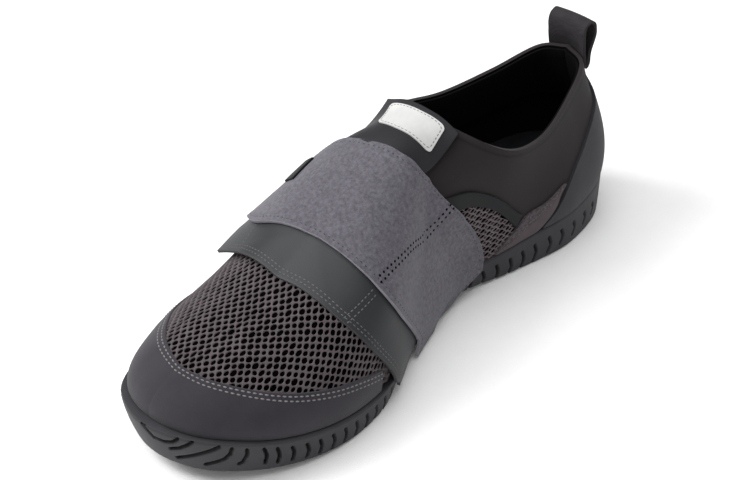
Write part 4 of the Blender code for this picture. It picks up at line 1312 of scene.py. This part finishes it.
@dataclass
class Strap:
    """Wide suede strap over a leather band, both wrapped over the instep."""

    end_w: float = 1.62
    suede_low_w: float = -0.85
    leather_low_w: float = -0.40
    leather_thickness: float = 1.5
    suede_thickness: float = 1.7
    leather_base: float = 0.5
    suede_base: float = 2.45
    lift: float = 2.4
    lift_from_w: float = 1.42
    stand_off: float = 3.0
    stand_off_w: tuple[float, float] = (1.0, 1.3)
    over_tab_w: tuple[float, float] = (0.54, 0.43)
    over_leather: tuple[float, float] = (0.28, 0.58)
    wave: float = 0.25
    wave_turns: tuple[float, float] = (5.0, 2.2)
    sole_gap: float = 0.45
    tuck_share: float = 0.5
    spread_w: float = 0.30
    perforation_x: tuple[float, float] = (-18.5, 40.0)
    perforation_half: float = 0.0135
    tab_w: tuple[float, float] = (1.32, 1.39)
    tab_x: tuple[float, float] = (12.5, 26.0)

    def _free_end(self, w: Array) -> Array:
        """Lift on the lateral side, where the strap stands off, and at its loose end."""
        loose = np.clip((w - self.lift_from_w) / (self.end_w - self.lift_from_w), 0, 1)
        return self.stand_off * smooth(*self.stand_off_w, w) + self.lift * loose ** 2

    def _leather_height(self, w: Array, share: Array) -> Array:
        """Underside of the leather above the upper."""
        return self.leather_base + self._free_end(w)

    def _suede_height(self, w: Array, share: Array) -> Array:
        """Underside of the suede: over the leather in front, over the tab at the ridge."""
        over_tab = smooth(*self.over_tab_w, np.abs(w - 1.0))
        rear = self.leather_base + (self.suede_base - self.leather_base) * over_tab
        turn = self.wave_turns[0] * w + self.wave_turns[1] * share
        wave = self.wave * np.sin(turn) * np.sin(math.pi * share)
        step = smooth(*self.over_leather, share)
        return rear + (self.suede_base - rear) * step + self._free_end(w) + wave

    def place(self, w: Array, x: Array, height: Array) -> tuple[Array, Array]:
        """Points and outward directions along the strap's way.

        Args:
            w: places along the strap.
            x: positions along the shoe.
            height: height above the upper.

        Returns:
            Points and outward directions.
        """
        points, up = np.empty((len(w), 3)), np.empty((len(w), 3))
        for side, pick in ((Side.MEDIAL, w <= 1.0), (Side.LATERAL, w > 1.0)):
            if not pick.any():
                continue
            v = np.clip(w[pick] if side is Side.MEDIAL else 2.0 - w[pick], 0.0, 1.0)
            s = LAST.place_at(side, v, x[pick])
            base = LAST.lay(side, s, v, height[pick])
            normal = LAST.normals(side, s, v)
            if side is Side.MEDIAL:
                ww = w[pick]
                _, inward = LAST.edge(side, s, 0.0)
                spread = (curve(GIRTH, s)[:, 0] + self.sole_gap) * (1 - smooth(0.0, self.spread_w, ww))
                base[:, :2] -= inward * np.where(ww < self.spread_w, spread, 0.0)[:, None]
                low = ww < 0.0
                if low.any():
                    tuck = curve(SOLE_TUCK, s[low])[:, 0] * self.tuck_share * -ww[low]
                    rim, inside = LAST.edge(side, s[low], tuck - self.sole_gap - height[pick][low])
                    high, floor = LAST.sole_top(rim[:, 0]), LAST.sole_bottom(rim[:, 0])
                    base[low] = np.column_stack([rim, high + (floor - high) * -ww[low]])
                    normal[low] = np.column_stack([-inside, np.zeros(low.sum())])
            points[pick], up[pick] = base, normal
        return points, up

    def _grid(
        self, edges: Table, low_w: float, size: tuple[int, int], height: Callable[[Array, Array], Array]
    ) -> Array:
        """Grid of points along and across a strap."""
        along, across = np.linspace(low_w, self.end_w, size[0]), np.linspace(0.0, 1.0, size[1])
        w, share = (part.ravel() for part in np.meshgrid(along, across, indexing="ij"))
        span = curve(edges, w)
        points, _ = self.place(w, span[:, 0] + (span[:, 1] - span[:, 0]) * share, height(w, share))
        return points.reshape(size + (3,))

    def _face(self, suede: bool, w: Array, x: Array, above: float = 0.0) -> tuple[Array, Array]:
        """Points and outward directions above the outer face of the suede or of the leather."""
        span = curve(SUEDE_EDGES if suede else LEATHER_EDGES, w)
        share = (x - span[:, 0]) / (span[:, 1] - span[:, 0])
        under = self._suede_height(w, share) if suede else self._leather_height(w, share)
        return self.place(w, x, under + (self.suede_thickness if suede else self.leather_thickness) + above)

    def _row(self, suede: bool, w: Array, inset: float, front: bool) -> tuple[Array, Array]:
        """Dense track that follows the front or rear edge of a strap at an inset."""
        span = curve(SUEDE_EDGES if suede else LEATHER_EDGES, w)
        return self._face(suede, w, span[:, 1] - inset if front else span[:, 0] + inset, 0.02)

    def build(self) -> None:
        """Make both straps, their stitches and the punched holes."""
        outward = LAST.normals(Side.MEDIAL, np.array([0.45]), np.array([0.2]))[0]
        band = self._grid(LEATHER_EDGES, self.leather_low_w, (130, 30), self._leather_height)
        tones = (Finishes.leather, Finishes.leather_edge)
        leather = thick_sheet("strap_leather_band", band, outward, self.leather_thickness, 0.4, tones)
        finish_piece(leather, Finishes.leather, "strap_leather")
        band = self._grid(SUEDE_EDGES, self.suede_low_w, (150, 60), self._suede_height)
        tones = (Finishes.suede, Finishes.suede_edge_and_highlight)
        suede = thick_sheet("strap_suede_band", band, outward, self.suede_thickness, 0.45, tones)
        finish_piece(suede, Finishes.suede, "strap_suede")
        self._stitches()
        self._perforations()
        self._pull_tab()

    def _pull_tab(self) -> None:
        """Small tab on the lateral side of the suede."""
        w, x = np.meshgrid(np.linspace(*self.tab_w, 8), np.linspace(*self.tab_x, 16), indexing="ij")
        points, up = self._face(True, w.ravel(), x.ravel())
        tab = thick_sheet("strap_pull_tab_leather", points.reshape(w.shape + (3,)), up[0], 1.1, 0.3)
        finish_piece(tab, Finishes.trim, "strap_pull_tab")

    def _stitches(self) -> None:
        """Stitch rows of the leather band and of the suede's edges."""
        w = np.linspace(0.02, 1.60, 500)
        rows = [spaced(*self._row(False, w, inset, True), 2.3) for inset in (2.2, 4.0)]
        for across, ends in ((0.485, (44.0, 62.0)), (0.515, (44.0, 62.0)), (1.43, (46.0, 61.0))):
            rows.append(spaced(*self._face(False, np.full(60, across), np.linspace(*ends, 60)), 2.2))
        pale = Bead(1.5, 0.6, 0.45).rows("leather_stitches", rows)
        finish_piece(pale, Finishes.dim_thread, angle=180.0)
        w = np.linspace(-0.6, 1.60, 500)
        rows = [spaced(*self._row(True, w, 2.4, front), 2.6) for front in (True, False)]
        dark = Bead(1.0, 0.38, 0.22).rows("suede_stitches", rows)
        finish_piece(dark, Finishes.dark_thread, angle=180.0)

    def _perforations(self) -> None:
        """Double row of punched holes along the medial side of the suede, drawn as near-black beads of
        painted shade.
        """
        parts = []
        for row, shift in ((-1.0, 0.0), (1.0, 1.35)):
            x = np.linspace(*self.perforation_x, 200)
            w = curve(PERFORATION_LINE, x)[:, 0] + row * self.perforation_half
            parts.append(spaced(*self._face(True, w, x, -0.02), 2.7, shift))
        holes = Bead(1.3, 1.3, 0.36).rows("suede_perforations", parts)
        finish_piece(holes, Finishes.hole, angle=180.0)


@dataclass
class ThroatTab:
    """Leather tab at the throat with a plain pale patch."""

    back: float = -33.5
    front: float = 0.0
    y_range: tuple[float, float] = (-23.5, 15.5)
    middle_y: float = 2.0
    sweep: float = 3.0
    lateral_lift: float = 3.6
    lateral_reach: float = 17.0
    taper: float = -0.05
    half: float = 20.0
    gap: float = 0.6
    rise: float = 1.2
    rise_from_x: float = -14.0
    thickness: float = 1.9
    # x and y of the patch's outer and inner corner, at its back and at its front edge.
    label_back: tuple[float, float, float, float] = (-32.6, -17.0, -30.8, 10.2)
    label_front: tuple[float, float, float, float] = (-13.6, -11.0, -16.3, 12.6)
    label_bow: float = 1.8
    label_corner: float = 0.16
    label_thickness: float = 0.6
    label_aspect: float = 1.6
    label_grid: tuple[int, int] = (41, 21)
    tab_grid: tuple[int, int] = (34, 20)
    border_power: float = 9.0
    border_share: tuple[float, float] = (0.88, 0.93)
    border_points: int = 97
    fit_degree: int = 5
    fit_middle: tuple[float, float] = (-20.0, -4.0)
    fit_scale: float = 20.0
    fit_front: float = 8.0
    fit_half: float = 26.0

    def _cloud(self) -> Array:
        """Points of the instep that plan positions are looked up in."""
        s, v = np.meshgrid(np.linspace(0.34, 0.76, 140), np.linspace(0.45, 1.0, 70), indexing="ij")
        return np.vstack([LAST.surface(side, s.ravel(), v.ravel()) for side in Side])

    def _above(self, x: Array, y: Array, height: float) -> tuple[Array, Array]:
        """Points above the instep.

        Args:
            x: plan positions along the shoe.
            y: plan positions across it.
            height: height above the upper.

        Returns:
            Points and outward directions.
        """
        cloud = self._cloud()
        middle = self.fit_middle
        cloud = cloud[(cloud[:, 0] < self.fit_front) & (np.abs(cloud[:, 1] - middle[1]) < self.fit_half)]
        count = self.fit_degree + 1
        powers = [(i, j) for i in range(count) for j in range(count - i)]

        def terms(px: Array, py: Array) -> Array:
            """Products of powers of the scaled plan position."""
            along, across = (px - middle[0]) / self.fit_scale, (py - middle[1]) / self.fit_scale
            return np.stack([along ** i * across ** j for i, j in powers], -1)

        fit = np.linalg.lstsq(terms(cloud[:, 0], cloud[:, 1]), cloud[:, 2], rcond=None)[0]
        step = 0.2
        level = terms(x, y) @ fit
        slope_x = (terms(x + step, y) @ fit - terms(x - step, y) @ fit) / (2 * step)
        slope_y = (terms(x, y + step) @ fit - terms(x, y - step) @ fit) / (2 * step)
        ups = unit(np.stack([-slope_x, -slope_y, np.ones_like(level)], -1))
        behind = np.maximum((self.rise_from_x - x) / (self.rise_from_x - self.back), 0.0)
        outer = np.clip((self.middle_y - y) / self.lateral_reach, 0.0, 1.0)
        lift = height + self.rise * behind ** 2 + self.lateral_lift * smooth(0.0, 1.0, outer)
        points = np.stack([x, y, level], -1) + ups * lift[..., None]
        return points, ups

    def _on_label(self, along: Array, across: Array) -> tuple[Array, Array]:
        """Plan positions on the patch."""
        share = (1 + across) / 2
        edges = (self.label_back, self.label_front)
        (back_x, front_x), (back_y, front_y) = (
            [row[k] + (row[k + 2] - row[k]) * share for row in edges] for k in (0, 1)
        )
        bow = self.label_bow * (1 - across ** 2)
        x = back_x + (front_x - back_x) * (1 + along) / 2 + bow
        return x, back_y + (front_y - back_y) * (1 + along) / 2

    def build(self) -> None:
        """Make the tab, the patch and the patch's stitched border."""
        self._tab()
        self._patch()
        self._border()

    def _tab(self) -> None:
        """Leather tab, wider than the patch."""
        across, along = np.meshgrid(*(np.linspace(0.0, 1.0, count) for count in self.tab_grid), indexing="ij")
        y = self.y_range[0] + (self.y_range[1] - self.y_range[0]) * across
        y = self.middle_y + (y - self.middle_y) * (1 - self.taper * along)
        back = self.back - self.sweep * ((y - self.middle_y) / self.half) ** 2
        x = back + (self.front - back) * along
        points, ups = self._above(x, y, self.gap)
        tones = (Finishes.tab_leather, Finishes.tab_edge_and_shade)
        tab = thick_sheet("throat_tab_leather", points, ups[0, 0], self.thickness, 0.35, tones)
        finish_piece(tab, Finishes.tab_leather, "throat_tab")

    def _patch(self) -> None:
        """Pale patch with rounded corners."""
        rows, columns = self.label_grid
        ends = np.sin(np.linspace(-0.5, 0.5, rows) * math.pi)[:, None]
        corner = np.clip((np.abs(ends) - 1 + self.label_corner) / self.label_corner, 0.0, 1.0)
        reach = 1 - 1.5 * self.label_corner * (1 - np.sqrt(1 - corner**2))
        x, y = self._on_label(reach * np.linspace(-1.0, 1.0, columns), np.repeat(ends, columns, axis=1))
        points, ups = self._above(x, y, self.gap + self.thickness + 0.1)
        label = grid_object("tab_label_patch", points)
        face_outward(label, ups[0, 0])
        apply_modifier(label, "SOLIDIFY", thickness=self.label_thickness * MM, offset=1.0, use_rim=True)
        finish_piece(label, Finishes.label, "tab_label")

    def _border(self) -> None:
        """Stitched border of the patch, with its places evenly spaced."""
        turn = np.linspace(0.0, 2 * math.pi, 6001)
        along, across = (
            np.sign(wave) * np.abs(wave) ** (2 / self.border_power) for wave in (np.cos(turn), np.sin(turn))
        )
        length = run_length(np.column_stack([along, self.label_aspect * across]))
        even = np.linspace(0.0, length[-1], self.border_points)
        along, across = np.interp(even, length, along), np.interp(even, length, across)
        x, y = self._on_label(self.border_share[0] * along, self.border_share[1] * across)
        points, ups = self._above(x, y, self.gap + self.thickness + self.label_thickness + 0.12)
        border = Bead(1.5, 0.45, 0.3).copies("label_stitches", *spaced(points, ups, 2.1))
        finish_piece(border, Finishes.thread, angle=180.0)


@dataclass
class PullLoop:
    """Folded webbing loop on the back of the heel."""

    thickness: float = 1.5
    width: float = 22.0
    middle_y: float = 3.0
    bend: float = 34.0
    straight_z: tuple[float, float] = (86.0, 96.0)
    straightening: float = 0.75

    def build(self) -> None:
        """Make the loop."""
        line = np.asarray(LOOP_LINE)
        around = np.vstack([line[-3:], line, line[:3]])
        run = run_length(around)
        fine = curve(np.column_stack([run, around]), np.linspace(run[3], run[-3], 97))[:-1]
        fine[-1] = (fine[-2] + fine[0]) / 2
        y = self.middle_y + np.linspace(-0.5, 0.5, 24) * self.width
        straight = self.straightening * smooth(self.straight_z[0], self.straight_z[1], fine[:, 1])
        grid = np.empty((len(y), len(fine) + 1, 3))
        closed = np.vstack([fine, fine[:1]])
        straight = np.concatenate([straight, straight[:1]])
        for i, place in enumerate(y):
            shift = (place - self.middle_y) ** 2 / self.bend * (1 - straight)
            grid[i] = np.column_stack([closed[:, 0] + shift, np.full(len(closed), place), closed[:, 1]])
        loop = grid_object("pull_loop_webbing", grid)
        weld(loop)
        apply_modifier(loop, "SOLIDIFY", thickness=self.thickness * MM, offset=0.0, use_rim=True)
        round_edges(loop, 0.4)
        finish_piece(loop, Finishes.webbing, "pull_loop")


@dataclass
class Studio:
    """Pale floor, soft lights and the camera."""

    azimuth: float = 133.9
    elevation: float = 37.9
    roll: float = -0.9
    focal_px: float = 1577.0
    frame_px: float = 750.0
    target: tuple[float, float, float] = (2.0, -1.9, 40.0)
    distance: float = 728.0
    sensor: float = 36.0
    floor_size: float = 8.0
    world_strength: float = 0.46
    aim: tuple[float, float, float] = (0.0, 0.0, 0.04)
    # Name, place and size in metres, power in watts.
    lights: tuple[tuple[str, tuple[float, float, float], float, float], ...] = (
        ("top light", (0.1, 0.0, 1.4), 1.4, 14.5),
        ("key light", (0.7, -0.9, 1.1), 0.8, 24.0),
        ("front light", (0.9, 0.9, 0.7), 0.9, 1.6),
    )

    def _camera(self) -> None:
        """Camera at the fitted angle."""
        a, e, r = (math.radians(value) for value in (self.azimuth, self.elevation, self.roll))
        back = Vector((math.sin(a) * math.cos(e), -math.cos(a) * math.cos(e), math.sin(e)))
        right = Vector((math.cos(a), math.sin(a), 0.0))
        up = back.cross(right)
        turned_right = right * math.cos(r) + up * math.sin(r)
        turned_up = up * math.cos(r) - right * math.sin(r)
        place = Vector((np.array(self.target) - ORIGIN) * MM) + back * self.distance * MM
        data = bpy.data.cameras.new("camera")
        data.sensor_width = self.sensor
        data.sensor_fit = "HORIZONTAL"
        data.lens = self.sensor * self.focal_px / self.frame_px
        data.clip_start = 0.01
        camera = bpy.data.objects.new("camera", data)
        bpy.context.scene.collection.objects.link(camera)
        turn = Matrix((turned_right, turned_up, back)).transposed().to_4x4()
        camera.matrix_world = Matrix.Translation(place) @ turn
        bpy.context.scene.camera = camera

    def _light(self, name: str, place: tuple[float, float, float], size: float, power: float) -> None:
        """Square soft light aimed at the shoe."""
        data = bpy.data.lights.new(name, "AREA")
        data.shape = "SQUARE"
        data.size = size
        data.energy = power
        light = bpy.data.objects.new(name, data)
        bpy.context.scene.collection.objects.link(light)
        light.location = place
        aim = Vector(self.aim) - Vector(place)
        light.rotation_euler = aim.to_track_quat("-Z", "Y").to_euler()

    def build(self) -> None:
        """Set up floor, light and camera."""
        bpy.ops.object.select_all(action="DESELECT")
        bpy.ops.mesh.primitive_plane_add(size=self.floor_size)
        floor = bpy.context.object
        floor.name = "studio_floor"
        floor.data.materials.append(Finishes.get(Finishes.floor))
        world = bpy.data.worlds.new("studio")
        world.use_nodes = True
        sky = world.node_tree.nodes["Background"].inputs
        sky["Color"].default_value = (1.0, 1.0, 1.0, 1.0)
        sky["Strength"].default_value = self.world_strength
        bpy.context.scene.world = world
        for light in self.lights:
            self._light(*light)
        bpy.context.scene.view_settings.view_transform = "Standard"
        self._camera()


def main() -> None:
    """Build every piece in order and report it."""
    logging.basicConfig(level=logging.INFO, format="%(message)s")
    for part in (Sole(), Upper(), Vamp(), SideWindow(), Panels(), Strap(), ThroatTab(), PullLoop(), Studio()):
        part.build()
        LOG.info("%s done", type(part).__name__)


if __name__ == "__main__":
    main()
